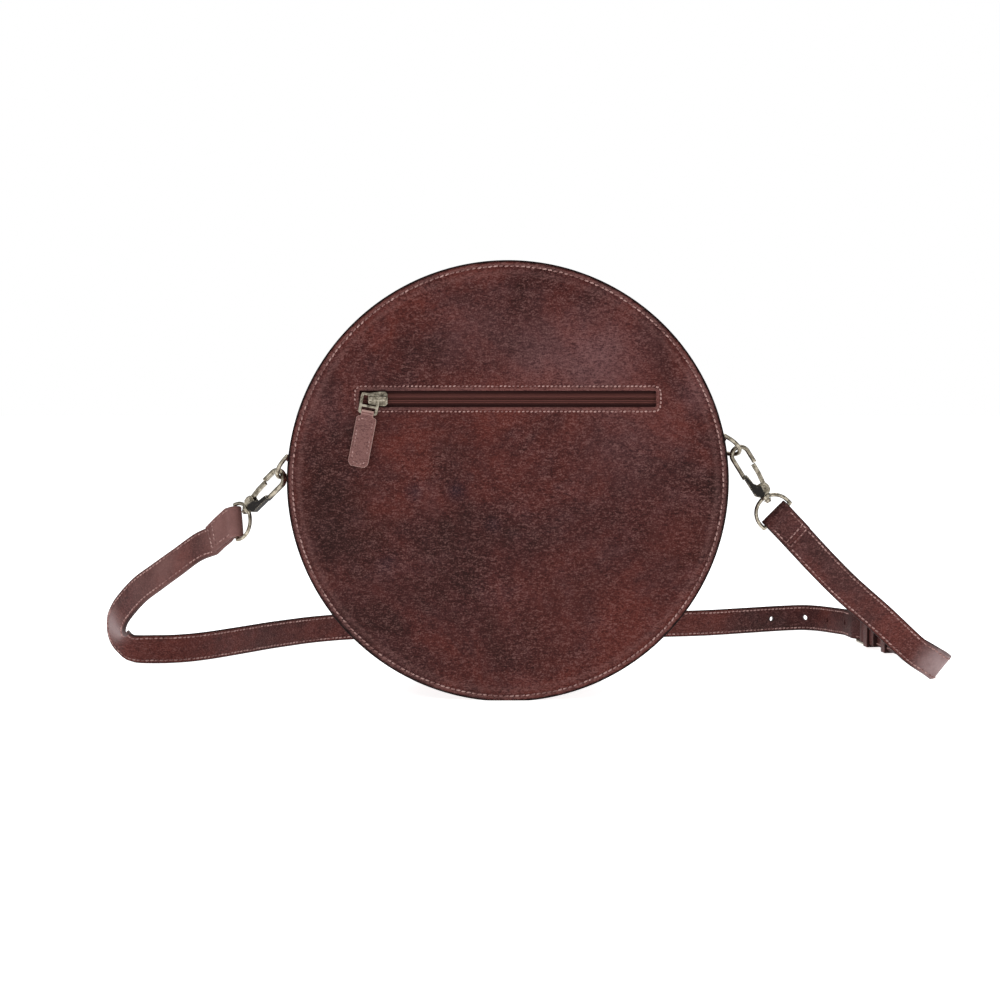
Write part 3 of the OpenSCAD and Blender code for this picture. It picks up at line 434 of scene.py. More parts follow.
def board_material():
    t = Tree("board")
    fibres = t.noise(500, 5, 0.7)
    colour = t.mix(fibres, srgb(120, 98, 76), srgb(160, 136, 108))
    return t.finish(Base_Color=colour, Roughness=0.9, Normal=t.bump(fibres, 0.0002, 0.4))


LEATHER_PANEL = leather("leather_panel", panel=True)
LEATHER = leather("leather")
left_eye = Vector(joints["hook_swivel_left"]["pos_m"])
# Tone of the painted sheen where the strap's face turns towards the light
HIDE_SHEEN = srgb(150, 130, 130)
# Pale places on the strap, part lighter leather and part painted highlight where the flap and the upper left run
# face up, and painted sheen where the strap bends at the left and near its right end: middle in metres, radius,
# strength, tone
STRAP_PALE_AND_SHEEN = [
    (left_eye + Vector((-0.012, 0.004, -0.008)), 34, 0.85, HIDE_PALE),
    (Vector((-0.176, 0.050, 0.056)), 42, 0.6, HIDE_PALE),
    (Vector((-0.218, 0.080, 0.026)), 22, 0.5, HIDE_SHEEN),
    (Vector((0.233, 0.040, 0.006)), 24, 0.9, HIDE_SHEEN),
]
STRAP_EDGE = srgb(46, 28, 27)
LEATHER_STRAP = leather("leather_strap", pale=0.06, grain=0.8, pale_and_sheen_spots=STRAP_PALE_AND_SHEEN, edge=STRAP_EDGE)
LEATHER_KEEPER = leather("leather_keeper", pale=0.2, edge=STRAP_EDGE)
# The tab's cut edges are pale: part raw leather, part painted highlight along their rounded rims
LEATHER_TAB = leather("leather_tab", pale=0.72, edge=srgb(176, 142, 134))
LEATHER_FRAME = leather("leather_slot_frame", pale=0.28)
THREAD = thread_material()
BRASS = antique_brass("antique_brass")
BRASS_DARK = antique_brass("antique_brass_dark", dark=0.12)
TAPE = tape_material()
COIL = coil_material()
CLOTH = cloth_material()
BOARD = board_material()


# Stitches

def run_lengths(points):
    """Distance along a line of points up to each of them."""
    return np.concatenate([[0], np.cumsum(np.linalg.norm(np.diff(points, axis=0), axis=1))])


def along_line(lengths, values, s):
    return np.stack([np.interp(s, lengths, column) for column in values.T], -1)


def stitch_shape(start, end, normal, thread, lift, sink=0.3, sides=6, steps=5):
    """One stitch: a thread that rises from a hole, lies on the leather and dips into the next hole."""
    along = end - start
    across = unit(np.cross(normal, along))
    rings = []
    for i in range(steps):
        share = i / (steps - 1)
        arch = math.sin(math.pi * share) ** 0.6 if 0 < share < 1 else 0
        centre = start + along * share + normal * (-sink + (sink + lift) * arch)
        radius = thread * (0.62 + 0.38 * arch)
        turns = [2 * math.pi * k / sides for k in range(sides)]
        rings.append([centre + radius * (math.cos(a) * across + math.sin(a) * normal) for a in turns])
    return loft(rings)


def row_of_stitches(places, normals, pitch=STITCH_PITCH, closed=False, slant=0.16, thread=THREAD_R):
    """Stitches along a line on a surface, each turned a little from it. One normal may serve all."""
    places = np.asarray(places, float)
    normals = np.broadcast_to(np.asarray(normals, float), places.shape)
    if closed:
        places, normals = np.vstack([places, places[:1]]), np.vstack([normals, normals[:1]])
    lengths = run_lengths(places)
    count = max(1, round(lengths[-1] / pitch))
    step = lengths[-1] / count
    half = STITCH_L / STITCH_PITCH * step / 2
    made = []
    for i in range(count):
        middle = (i + 0.5) * step
        normal = unit(along_line(lengths, normals, middle))
        start, end = (along_line(lengths, places, middle + reach) for reach in (-half, half))
        across = unit(np.cross(normal, end - start))
        side = across * slant * random.uniform(0.4, 1.6)
        drift = across * random.uniform(-STITCH_DRIFT, STITCH_DRIFT)
        lift = thread * random.uniform(0.35, 0.65)
        made.append(stitch_shape(start - side + drift, end + side + drift, normal, thread, lift=lift))
    return made


def sewn(name, stitches, body="bag"):
    piece(name, join(stitches), THREAD, body)


# Round panels

ROLL_W = 12
PAINT_W = 0.95
EDGE_R = 0.75
# Room round the slot for the slot's frame, and how far a cutter reaches past the leather
SLOT_SPARE = 0.6
CUT_OVER = 2
PANEL_TURNS = 600
LINE_POINTS = 720


def waviness(x, z, scale, seed):
    return np.array([noise.noise(Vector((a * scale, b * scale, seed))) for a, b in zip(x, z)])


def face_inset(x, z, seed):
    """How far the leather lies behind the flat face of the frame, in millimetres."""
    r = np.hypot(x, z)
    roll = 0.85 * np.clip((r - (PANEL_R - ROLL_W)) / ROLL_W, 0, 1) ** 2
    groove = 0.24 * np.exp(-(((r - STITCH_R) / 0.6) ** 2))
    wave = 0.2 * waviness(x, z, 0.018, seed) + 0.07 * waviness(x, z, 0.07, seed + 3)
    return np.clip(0.24 + wave, 0.05, 0.6) + roll + groove


def panel_shape(side, seed):
    """A disc of leather with a rolled, rounded rim, cut flat where it stands on the ground."""
    fine = PANEL_R - 8
    radii = np.concatenate([np.arange(1.2, fine, 1.25), np.arange(fine, PANEL_R - EDGE_R, 0.42)])
    turns = full_turn(PANEL_TURNS)
    rings, paints = [], []
    for r in radii:
        x, z = r * np.cos(turns), r * np.sin(turns)
        rings.append(around(r, turns, side * (FACE_Y - face_inset(x, z, seed))))
        wavy_r = r + 0.3 * waviness(x, z, 0.35, seed + 9)
        paints.append(smoothstep(PANEL_R - PAINT_W - 0.35, PANEL_R - PAINT_W + 0.35, wavy_r))
    rim_y = FACE_Y - face_inset(PANEL_R * np.cos(turns), PANEL_R * np.sin(turns), seed) - 0.1
    back_y = FACE_Y - LEATHER_T
    for angle in np.radians((25, 50, 75, 90)):
        y = rim_y - EDGE_R * 0.5 * (1 - math.cos(angle))
        r = PANEL_R - EDGE_R * (1 - math.sin(angle))
        rings.append(around(r, turns, side * np.maximum(y, back_y + 0.1)))
        paints.append(np.ones(PANEL_TURNS))
    for r, painted in ((PANEL_R, 1.0), (PANEL_R - 2, 1.0), (1.2, 0.0)):
        rings.append(around(r, turns, side * back_y))
        paints.append(np.full(PANEL_TURNS, painted))
    return on_ground(loft(rings)), np.concatenate(paints)


def on_ground(shape):
    """The shape with what lies below the ground pushed up to it."""
    points, faces = shape
    points[:, 2] = np.maximum(points[:, 2], 0)
    return points, faces


def cut_with(target, rings):
    """Cuts a loft of rings out of a mesh for good."""
    cutter = in_scene("cutter", mesh_of("cutter", *loft(rings)))
    modifier = target.modifiers.new("cut", "BOOLEAN")
    modifier.object = cutter
    modifier.operation = "DIFFERENCE"
    modifier.solver = "EXACT"
    made = settled(target)
    target.modifiers.clear()
    target.data = made
    bpy.data.objects.remove(cutter)


def ring_line(r, side, seed):
    """Points of a circle on the panel."""
    turns = full_turn(LINE_POINTS)
    return around(r, turns, side * (FACE_Y - face_inset(r * np.cos(turns), r * np.sin(turns), seed)))


def panels():
    for node, side, seed in (("pocket_panel", -1, 1.5), ("plain_panel", 1, 21.5)):
        shape, paint_and_shade = panel_shape(side, seed)
        made = piece(node + "_leather", shape, LEATHER_PANEL, "bag", [node], 60, paint_and_shade)
        if node == "pocket_panel":
            half_l, half_h = SLOT_L / 2 + SLOT_SPARE, SLOT_H / 2 + SLOT_SPARE
            front, back = -FACE_Y - CUT_OVER, -FACE_Y + LEATHER_T + CUT_OVER
            corners = ((back, -half_h), (back, half_h), (front, half_h), (front, -half_h))
            cut_with(made, [[(x, y, SLOT_Z + z) for y, z in corners] for x in (-half_l, half_l)])
        places = ring_line(STITCH_R, side, seed)
        sewn(node + "_stitches", row_of_stitches(places, [0, side, 0], closed=True))


# Pocket slot: the stitched frame round it and the zip in it

SLOT_SEAM_OUT = 2.25
SLOT_SEAM_DEPTH = 0.5
SLOT_CORNER = 0.6
TAPE_STEP = 3
SLOT_PITCH = 2.1
SLOT_SLANT = 0.24
SLOT_THREAD = 0.46
# The coils of both zips: middle radius of the turns, radius of the wire, one turn's length
COIL_R = 0.55
COIL_WIRE = 0.25
COIL_PITCH = 1.5


def slot_loop(half_l, half_h, radius, step=2.0, per_corner=5):
    """A rounded rectangle about the middle, with points at even steps along its straight sides."""
    loop = []
    for quarter, (sx, sz) in enumerate(((1, 1), (-1, 1), (-1, -1), (1, -1))):
        for k in range(per_corner + 1):
            a = math.radians(90 * (quarter + k / per_corner))
            x = sx * (half_l - radius) + radius * math.cos(a)
            loop.append((x, sz * (half_h - radius) + radius * math.sin(a)))
    loop = np.array(loop)
    made = []
    for a, b in zip(loop, np.roll(loop, -1, axis=0)):
        count = max(1, int(np.linalg.norm(b - a) // step))
        made += [a + (b - a) * i / count for i in range(count)]
    return np.array(made)


def slot_frame():
    """The leather beside the slot: rolled into it, raised a little, and pulled down at the stitches."""
    base = slot_loop(SLOT_L / 2, SLOT_H / 2, SLOT_CORNER)
    # Distance from the slot's edge, and height over the face of the panel
    profile = [
        (0.5, -1.75), (0.0, -1.7), (-0.02, -1.0), (0.06, -0.5), (0.3, -0.22), (0.65, -0.1), (1.1, -0.05),
        (1.6, -0.12), (1.9, -0.4), (2.1, -0.6), (2.4, -0.6), (2.7, -0.4), (3.4, -0.6), (3.4, -1.6),
    ]
    rings = []
    for out, height in profile:
        ring = []
        for x, z in grown_loop(base, out):
            wobble = 0.05 * noise.noise(Vector((x * 0.2, z * 0.2, 4)))
            ring.append((x, -FACE_Y - height - min(0.0, wobble), z + SLOT_Z))
        rings.append(ring)
    piece("pocket_slot_frame", loft(rings, closed=True), LEATHER_FRAME, sharp=70)
    places = [(x, -FACE_Y + SLOT_SEAM_DEPTH, z + SLOT_Z) for x, z in grown_loop(base, SLOT_SEAM_OUT)]
    stitches = row_of_stitches(places, [0, -1, 0], SLOT_PITCH, True, SLOT_SLANT, SLOT_THREAD)
    sewn("pocket_slot_stitches", stitches)


def grown_loop(base, out):
    """A loop moved outwards by a distance, point by point."""
    run = unit(np.roll(base, -1, axis=0) - np.roll(base, 1, axis=0))
    normal = np.stack([run[:, 1], -run[:, 0]], -1)
    normal[np.sum(normal * base, axis=1) < 0] *= -1
    return base + normal * out


def tape_half(side):
    """Half of the tape: a ribbed bead at the middle and a flat band that is sewn behind the leather."""
    face = tape_low.y
    edge = tape_high.z - SLOT_Z
    rows = [
        (0.12, 0.35), (0.25, -0.05), (0.6, -0.3), (1.05, -0.2), (1.45, -0.34), (1.9, -0.34), (2.2, -0.2),
        (2.5, 0.02), (2.8, 0.12), (3.4, 0.1), (edge, 0.1), (edge, 0.8), (3, 0.8), (0.9, 0.8),
    ]
    xs = np.linspace(tape_low.x, tape_high.x, int((tape_high.x - tape_low.x) / TAPE_STEP))
    return loft([[(x, face + depth, SLOT_Z + side * out) for out, depth in rows] for x in xs])


def helix(centre_at, length, radius, wire, pitch, samples=9, sides=5, turn=1):
    """A wound wire along a line that centre_at(distance) gives as a point and two directions."""
    count = int(length / pitch * samples)
    rings = []
    for i in range(count + 1):
        s = i * length / count
        a = turn * 2 * math.pi * s / pitch
        point, u, v = centre_at(s)
        out = math.cos(a) * u + math.sin(a) * v
        onward = turn * (-math.sin(a) * u + math.cos(a) * v)
        along = unit(np.cross(u, v) * pitch / (2 * math.pi * radius) + onward)
        side = np.cross(along, out)
        rings.append([point + radius * out + wire * (math.cos(b) * out + math.sin(b) * side)
            for b in (2 * math.pi * k / sides for k in range(sides))])
    return loft(rings)


def coil_rows(node, centre_of, length, samples=9):
    """The two wound coils of a zip, each along the line that centre_of(side) gives."""
    rows = []
    for side in (-1, 1):
        rows.append(helix(centre_of(side), length, COIL_R, COIL_WIRE, COIL_PITCH, samples, turn=side))
    piece(node + "_wound", join(rows), COIL, replaces=[node], sharp=80)


def pocket_zip():
    shape = join([tape_half(-1), tape_half(1)])
    # Painted shade on the flat tape beyond the bead, in the shadow of the slot's edges
    paint_and_shade = smoothstep(2.3, 2.75, np.abs(shape[0][:, 2] - SLOT_Z))
    piece("pocket_zip_tape_woven", shape, TAPE, "bag", ["pocket_zip_tape"], 50, paint_and_shade)
    row_y = (coil_low.y + coil_high.y) / 2
    reach = (coil_high.z - coil_low.z) / 2 - COIL_R - COIL_WIRE

    def centre_of(side):
        def centre(s):
            point = np.array([coil_low.x + s, row_y, SLOT_Z + side * reach])
            return point, np.array([0.0, 1.0, 0.0]), np.array([0.0, 0.0, 1.0])
        return centre

    coil_rows("pocket_zip_coil", centre_of, SLOT_L)


# Gusset: bands turned round the bag's axis

ZIP_SEAM_IN = 2.6
ZIP_HALF_W = 13
# Half the width of the hollow across the band, its depth, and the flat part of a top strip
HOLLOW_HALF_W = 27
HOLLOW_D = 0.12
TOP_FLAT = (22, 12)


def turned(profile, from_angle, to_angle):
    """A profile of (radius, y) points turned round the bag's axis, cut flat at the ground."""
    angles = np.radians(np.linspace(from_angle, to_angle, max(2, int(to_angle - from_angle))))
    rings = [[(r * math.cos(a), y, r * math.sin(a) + CENTRE_Z) for r, y in profile] for a in angles]
    return on_ground(loft(rings))


def flange_profile(side):
    """The turned-out seam, from the inside of the band round its painted edge to the outside of the band."""
    y_out = side * (FACE_Y - LEATHER_T)
    y_in = y_out - side * GUSSET_T
    rim = PANEL_R - 0.5
    tip = [(rim, y_out), (PANEL_R, y_out - side * 0.5), (PANEL_R, y_in + side * 0.5), (rim, y_in)]
    # Distance out from the band, and in from the flange, round the inner corner
    turn = ((1.6, 0), (0.8, 0.15), (0.2, 0.7), (0, 1.6))
    return tip + [(GUSSET_OUT + out, y_in - side * inward) for out, inward in turn]


def band_piece(node, profile, from_angle, to_angle):
    """A leather band of the gusset, the rim of its flanges painted."""
    shape = turned(profile, from_angle, to_angle)
    points = shape[0]
    paint_and_shade = smoothstep(PANEL_R - 1.1, PANEL_R - 0.5, np.hypot(points[:, 0], points[:, 2] - CENTRE_Z))
    piece(node + "_leather", shape, LEATHER, "bag", [node], 50, paint_and_shade)


def band_row(r, turn, half, count, pitch=STITCH_PITCH):
    """A row of stitches across the gusset at one turn round the bag's axis."""
    places = around(r, np.full(count, turn), np.linspace(-half, half, count))
    return row_of_stitches(places, outward(turn), pitch)


def gusset():
    half = FACE_Y - LEATHER_T
    ys = np.linspace(-HOLLOW_HALF_W, HOLLOW_HALF_W, 13)
    hollow = [(GUSSET_OUT - HOLLOW_D * math.cos(math.pi * y / (2 * half)), y) for y in ys]
    inside = [(GUSSET_IN, half), (GUSSET_IN, 0), (GUSSET_IN, -half)]
    base = flange_profile(-1) + hollow + flange_profile(1)[::-1] + inside
    band_piece("gusset_base", base, 180 - ZIP_END_ANGLE, 360 + ZIP_END_ANGLE)
    # The strip's edge at the zip: radius, and distance from the edge
    lip = (
        (GUSSET_OUT - 0.02, 4), (GUSSET_OUT - 0.3, ZIP_SEAM_IN), (GUSSET_OUT - 0.02, 1.7), (GUSSET_OUT, 0.9),
        (GUSSET_OUT - 0.25, 0.25), (GUSSET_OUT - 0.8, 0), (GUSSET_IN + 0.2, 0.2), (GUSSET_IN, 1),
    )
    lines = []
    for node, side in (("gusset_top_front", -1), ("gusset_top_back", 1)):
        edge = side * ZIP_GAP / 2
        strip = flange_profile(side) + [(GUSSET_OUT, side * y) for y in TOP_FLAT]
        strip += [(r, edge + side * inward) for r, inward in lip] + [(GUSSET_IN, side * half)]
        band_piece(node, strip, ZIP_END_ANGLE, 180 - ZIP_END_ANGLE)
        turns = np.radians(np.linspace(ZIP_END_ANGLE + 1, 179 - ZIP_END_ANGLE, 240))
        places = around(GUSSET_OUT - 0.28, turns, edge + side * ZIP_SEAM_IN)
        lines += row_of_stitches(places, outward(turns))
    for angle in (ZIP_END_ANGLE - 1.6, 180 - ZIP_END_ANGLE + 1.6):
        lines += band_row(GUSSET_OUT - 0.02, math.radians(angle), half - 3, 40)
    sewn("gusset_stitches", lines)
    # The seams' stitches come through on the inner side of each flange
    seams = []
    for side in (-1, 1):
        places = around(STITCH_R, full_turn(LINE_POINTS), side * (half - GUSSET_T))
        seams += row_of_stitches(places, [0, -side, 0], closed=True)
    sewn("seam_stitches", seams)


def main_zip():
    """The tape and coil over the top of the bag, behind the gap in the gusset."""
    # Height over the inside of the gusset, and distance from the middle of the zip
    rows = (
        (-0.25, 0.15), (0.1, 0.3), (0.32, 0.7), (0.26, 1.2), (0.34, 1.7), (0.1, 2.2), (-0.05, 2.6),
        (-0.05, ZIP_HALF_W), (-0.8, ZIP_HALF_W), (-0.8, 0.9),
    )
    halves = []
    for side in (-1, 1):
        profile = [(GUSSET_IN + height, side * out) for height, out in rows]
        halves.append(turned(profile, ZIP_END_ANGLE, 180 - ZIP_END_ANGLE))
    shape = join(halves)
    # Painted shade on the tape beyond the bead, in the shadow of the gusset's edges
    paint_and_shade = smoothstep(2.4, 3.2, np.abs(shape[0][:, 1]))
    piece("main_zip_tape_woven", shape, TAPE, "bag", ["main_zip_tape"], 50, paint_and_shade)
    _, high = box_mm("main_zip_coil")
    row_r = high.z - CENTRE_Z - COIL_R - COIL_WIRE
    reach = high.y - COIL_R - COIL_WIRE

    def centre_of(side):
        def centre(s):
            turn = math.radians(ZIP_END_ANGLE) + s / row_r
            return around(row_r, turn, side * reach), outward(turn), np.array([0.0, 1.0, 0.0])
        return centre

    coil_rows("main_zip_coil", centre_of, row_r * math.radians(180 - 2 * ZIP_END_ANGLE), 8)


# Straps: the same route as the frame's, with a finer section

STRAP_W = 16
STRAP_T = 2.4
FOLD_L = 17
LOOP_WIRE = 2.0
RUN_GAP = 0.15
PLY_GAP = 0.1
TIP_L = 72
LOOP_HALF = STRAP_W / 2 + LOOP_WIRE / 2 + 0.4
EYE_Z = -1.2
LOOP_EYE_ANGLE = {"left": 33, "right": 17}
RIGHT_TURN = 13
FLAP_SIDE = {"left": -1, "right": 1}
# Rows of a fold, from the bar to its end: middle in strap widths, direction across
LEFT_END_SHARES = [
    [0, 0, 0, -0.1, 0.25, 0.96], [-0.24, 0.105, -0.053, -0.09, 0.26, 0.96],
    [-0.45, 0.21, -0.23, -0.12, 0.35, 0.93], [-0.66, 0.36, -0.45, -0.2, 0.44, 0.87],
    [-0.86, 0.52, -0.64, -0.3, 0.52, 0.8],
]
RIGHT_END_SHARES = [
    [0, 0, 0, 0.7, 0, 0.71], [0.24, 0.08, -0.25, 0.69, 0, 0.72], [0.49, 0.18, -0.5, 0.68, 0, 0.73],
    [0.74, 0.29, -0.76, 0.66, 0, 0.75],
]
# Rows of a route: place in panel radii, direction across. Short rows stand upright on the ground
GROUND_ROW = [0, 0, 0, -1]
LEFT_ROUTE_SHARES = [
    [-1.495, 0.285, 0.598, -0.44, 0.6, 0.67], [-1.603, 0.335, 0.53, -0.55, 0.62, 0.56],
    [-1.706, 0.392, 0.456, -0.55, 0.61, 0.57], [-1.812, 0.464, 0.378, -0.56, 0.6, 0.57],
    [-1.906, 0.555, 0.283, -0.58, 0.6, 0.55], [-1.95, 0.623, 0.226, -0.6, 0.65, 0.46],
    [-1.972, 0.7, 0.188, -0.62, 0.73, 0.26], [-1.978, 0.777, 0.15, -0.61, 0.76, -0.1],
    [-1.966, 0.84, 0.075, -0.45, 0.66, -0.6], [-1.932, 0.864, 0.016, -0.2, 0.39, -0.9],
    [-1.882, 0.868, 0, -0.05, 0.1, -1], [-1.81, 0.862], [-1.727, 0.872], [-1.636, 0.918], [-1.545, 1.01],
    [-1.455, 1.136], [-1.368, 1.264], [-1.277, 1.4], [-1.182, 1.518], [-1.073, 1.64], [-0.91, 1.755],
    [-0.68, 1.835], [-0.41, 1.865], [-0.14, 1.865], [0.14, 1.85], [0.41, 1.842], [0.68, 1.852],
    [0.91, 1.885], [1.136, 1.941], [1.364, 2.045], [1.545, 2.132], [1.655, 2.173], [1.718, 2.177, 0.001],
    [1.773, 2.127, 0.004], [1.823, 2.018, 0.01],
]
RIGHT_ROUTE_SHARES = [
    [2.072, 0.79, 0.012, 0.12, 0, 1], [2.09, 0.64, 0.005, 0.3, 0, 0.95], [2.108, 0.5, 0, 0.46, 0, 0.89],
    [2.118, 0.41, 0, 0.58, 0, 0.82], [2.116, 0.358, 0, 0.62, 0, 0.78],
    [2.098, 0.33, 0.005, 0.64, 0, 0.77], [2.058, 0.312, 0.034, 0.65, 0, 0.76],
    [1.965, 0.285, 0.098, 0.65, 0, 0.76], [1.8, 0.232, 0.249, 0.65, 0, 0.76],
    [1.625, 0.165, 0.4, 0.65, 0, 0.76], [1.495, 0.105, 0.525, 0.65, 0, 0.76],
]
BUCKLE = joint_at("buckle_tilt")
BUCKLE_TURN = math.radians(-82.5)
BUCKLE_WIRE = 2.0
BUCKLE_L = 16
# Distances of the strap's middle layer from a bar, a closed fold, and the same for the layer over it
BAR_WRAP = BUCKLE_WIRE / 2 + RUN_GAP + STRAP_T / 2
SHUT_HALF = (STRAP_T + PLY_GAP) / 2
OVER_WRAP = BAR_WRAP + STRAP_T + PLY_GAP
OVER_SHUT = SHUT_HALF + STRAP_T + PLY_GAP
SHORT_FOLD = FOLD_L + 5
CROSS_WRAP = BAR_WRAP + 0.8


def loop_bar(side):
    """Middle of the bar of a swivel loop, where a strap end is folded round it."""
    swivel = "hook_swivel_" + side
    axis = unit(joints[swivel]["axis"])
    eye = joint_at(swivel) + EYE_Z * axis
    if side == "left":
        reach, bar = unit([0.72, -0.65, 0.24]), unit([-0.10, 0.25, 0.963])
    else:
        lean = math.atan2(axis[0], axis[2]) - math.radians(RIGHT_TURN)
        reach = np.array([math.sin(lean), 0, math.cos(lean)])
        bar = np.array([math.cos(lean), 0, -math.sin(lean)])
    a = math.radians(LOOP_EYE_ANGLE[side])
    return eye - LOOP_HALF * (math.cos(a) * reach + math.sin(a) * bar) - LOOP_WIRE * reach


def mid_row(rows, share):
    """The row at a share of the way through a table."""
    n = len(rows) - 1
    i = int(min(max(math.floor(share * n), 0), n - 1))
    f = share * n - i
    return np.array(rows[i]) * (1 - f) + np.array(rows[i + 1]) * f


def half_circle(radius, sign=1):
    """Places round a bar, from one of its faces to the other, away from the strap."""
    turns = np.radians(range(0, 181, 15))
    return [(-radius * math.sin(a), sign * radius * math.cos(a)) for a in turns]


def end_frames(side):
    """Middle points and directions across the strap, from the tip of the flap round the bar and back."""
    rows = LEFT_END_SHARES if side == "left" else RIGHT_END_SHARES
    bar = loop_bar(side)
    reach = LOOP_WIRE / 2 + RUN_GAP
    open_half = reach + STRAP_T / 2
    run = [(FOLD_L, SHUT_HALF), (FOLD_L * 0.66, SHUT_HALF), (reach + STRAP_T, SHUT_HALF), (reach, open_half)]
    line = run + half_circle(open_half) + [(d, -off) for d, off in run[::-1]]

    def mid(d):
        m = mid_row(rows, d / FOLD_L)
        return bar + STRAP_W * m[:3], unit(m[3:])

    made = []
    for d, off in line:
        point, across = mid(d)
        before, after = mid(max(d, 0) - 1), mid(max(d, 0) + 1)
        out = unit(np.cross(unit(after[0] - before[0]), after[1]))
        made.append(np.concatenate([point + off * FLAP_SIDE[side] * out, across]))
    return made


def route_frame(row):
    """A row of a route as a middle point and a direction across, in millimetres."""
    x, y, z, *across = row + GROUND_ROW[len(row) - 2:]
    across = unit(across)
    return np.array([x * PANEL_R, y * PANEL_R, z * PANEL_R + abs(across[2]) * STRAP_W / 2, *across])


def curve(frames, count=8):
    """A Catmull-Rom curve through frames."""
    made = []
    for i in range(len(frames) - 1):
        a, b, c, d = frames[max(i - 1, 0)], frames[i], frames[i + 1], frames[min(i + 2, len(frames) - 1)]
        for k in range(count):
            t = k / count
            made.append(0.5 * (2 * b + (c - a) * t + (2 * a - 5 * b + 4 * c - d) * t * t
                + (3 * b - a - 3 * c + d) * t ** 3))
    return made + [frames[-1]]


def buckle_point(x, y):
    """A place in the buckle's own plan, along and across it, in the bag's millimetres."""
    c, s = math.cos(BUCKLE_TURN), math.sin(BUCKLE_TURN)
    return BUCKLE + np.array([x * c - y * s, x * s + y * c, 0])


def buckle_line(places, up):
    return [np.concatenate([buckle_point(x, y), [0, 0, up]]) for x, y in places]


def short_start():
    """The short strap's fold round the buckle's bar and its straight part beyond."""
    run = [(SHORT_FOLD, SHUT_HALF), (BAR_WRAP + STRAP_T * 2, SHUT_HALF), (STRAP_T / 2, BAR_WRAP)]
    line = [(x, -y) for x, y in run] + half_circle(BAR_WRAP, -1) + run[::-1]
    line += [((SHORT_FOLD + TIP_L) / 2, SHUT_HALF), (TIP_L, SHUT_HALF)]
    return buckle_line(line, 1)


def long_end():
    """The long strap's end: under the crosspiece, over the bar and along the short strap."""
    ramp = math.asin((CROSS_WRAP + OVER_WRAP) / BUCKLE_L)
    line = [(-BUCKLE_L * 1.9, -CROSS_WRAP), (-BUCKLE_L * 1.3, -CROSS_WRAP)]
    line += [(-BUCKLE_L + CROSS_WRAP * math.sin(a), -CROSS_WRAP * math.cos(a)) for a in (0, ramp / 2, ramp)]
    line += [(-OVER_WRAP * math.sin(a), OVER_WRAP * math.cos(a)) for a in (ramp, ramp / 2, 0)]
    line += [(STRAP_T / 2, OVER_WRAP), (BAR_WRAP + STRAP_T * 2, OVER_SHUT), (TIP_L * 0.5, OVER_SHUT),
        (TIP_L - STRAP_W * 0.5, OVER_SHUT), (TIP_L, OVER_SHUT)]
    return buckle_line(line, -1)


def even_line(frames, step=0.5, soft=0.8):
    """Frames at even steps along the line, with their corners softened."""
    f = np.array(frames)
    lengths = run_lengths(f[:, :3])
    s = np.linspace(0, lengths[-1], int(lengths[-1] / step))
    rows = along_line(lengths, f, s)
    reach = int(3 * soft / step)
    weights = np.exp(-0.5 * (np.arange(-reach, reach + 1) * step / soft) ** 2)
    weights /= weights.sum()
    before = 2 * rows[0] - rows[reach:0:-1]
    after = 2 * rows[-1] - rows[-2:-reach - 2:-1]
    padded = np.vstack([before, rows, after])
    return np.stack([np.convolve(column, weights, "valid") for column in padded.T], -1), s


class Band:
    """A strap as even frames: middle points, directions across and out of its face."""

    def __init__(self, frames):
        rows, self.s = even_line(frames)
        self.points = rows[:, :3]
        run, across = unit(np.gradient(self.points, axis=0)), unit(rows[:, 3:])
        normal = np.cross(run, across)
        size = np.linalg.norm(normal, axis=1)[:, None]
        self.across = across / size
        self.out = normal / size
        self.length = self.s[-1]

    def at(self, values, s):
        return along_line(self.s, values, s)

    def place(self, s, u, v):
        return self.at(self.points, s) + u * self.at(self.across, s) + v * self.at(self.out, s)

    def nearest(self, point):
        return self.s[np.argmin(np.linalg.norm(self.points - point, axis=1))]


# Distance of a row of stitches from the strap's edge, and how deep the rows lie in the face
ROW_IN = 1.75
ROW_OUT = STRAP_W / 2 - ROW_IN
ROW_SINK = 0.14
CROSS_SINK = 0.05


def strap_section():
    """Points round the strap as (across, out, paint), with a dip under each row of stitches."""
    half, thick = STRAP_W / 2, STRAP_T / 2
    reach = [3, ROW_OUT - 1, ROW_OUT - 0.45, ROW_OUT, ROW_OUT + 0.45, half - 0.8]
    us = [-u for u in reach[::-1]] + [0] + reach
    top = [(u, thick - 0.16 * math.exp(-(((abs(u) - ROW_OUT) / 0.35) ** 2)), 0.0) for u in us]
    low = thick - 0.1
    edge = ((0.35, low), (0.05, thick - 0.4), (0, 0), (0.05, 0.4 - thick), (0.35, -low))
    right = [(half - inward, v, 1.0) for inward, v in edge]
    return top + right + [(-u, -v, p) for u, v, p in top + right]


def strap_shape(band, tight, tip=False):
    """The strap's skin, with rings close together where it bends tightly."""
    section = strap_section()
    half = STRAP_W / 2
    stops, s = [], 0.0
    while s < band.length:
        stops.append(s)
        s += 0.6 if any(low <= s <= high for low, high in tight) else 2.2
    stops.append(band.length)
    rings, paint_and_shade = [], []
    for s in stops:
        wide = 1.0
        left_over = band.length - s
        if tip and left_over < half:
            wide = max(0.32, math.sqrt(max(0.0, 1 - ((half - left_over) / half) ** 2)))
        point, across, out = band.at(band.points, s), band.at(band.across, s), band.at(band.out, s)
        rings.append([point + u * wide * across + v * out for u, v, _ in section])
        at_end = s < 0.01 or left_over < 0.01
        paint_and_shade += [1.0 if at_end else p for _, _, p in section]
    return loft(rings), paint_and_shade


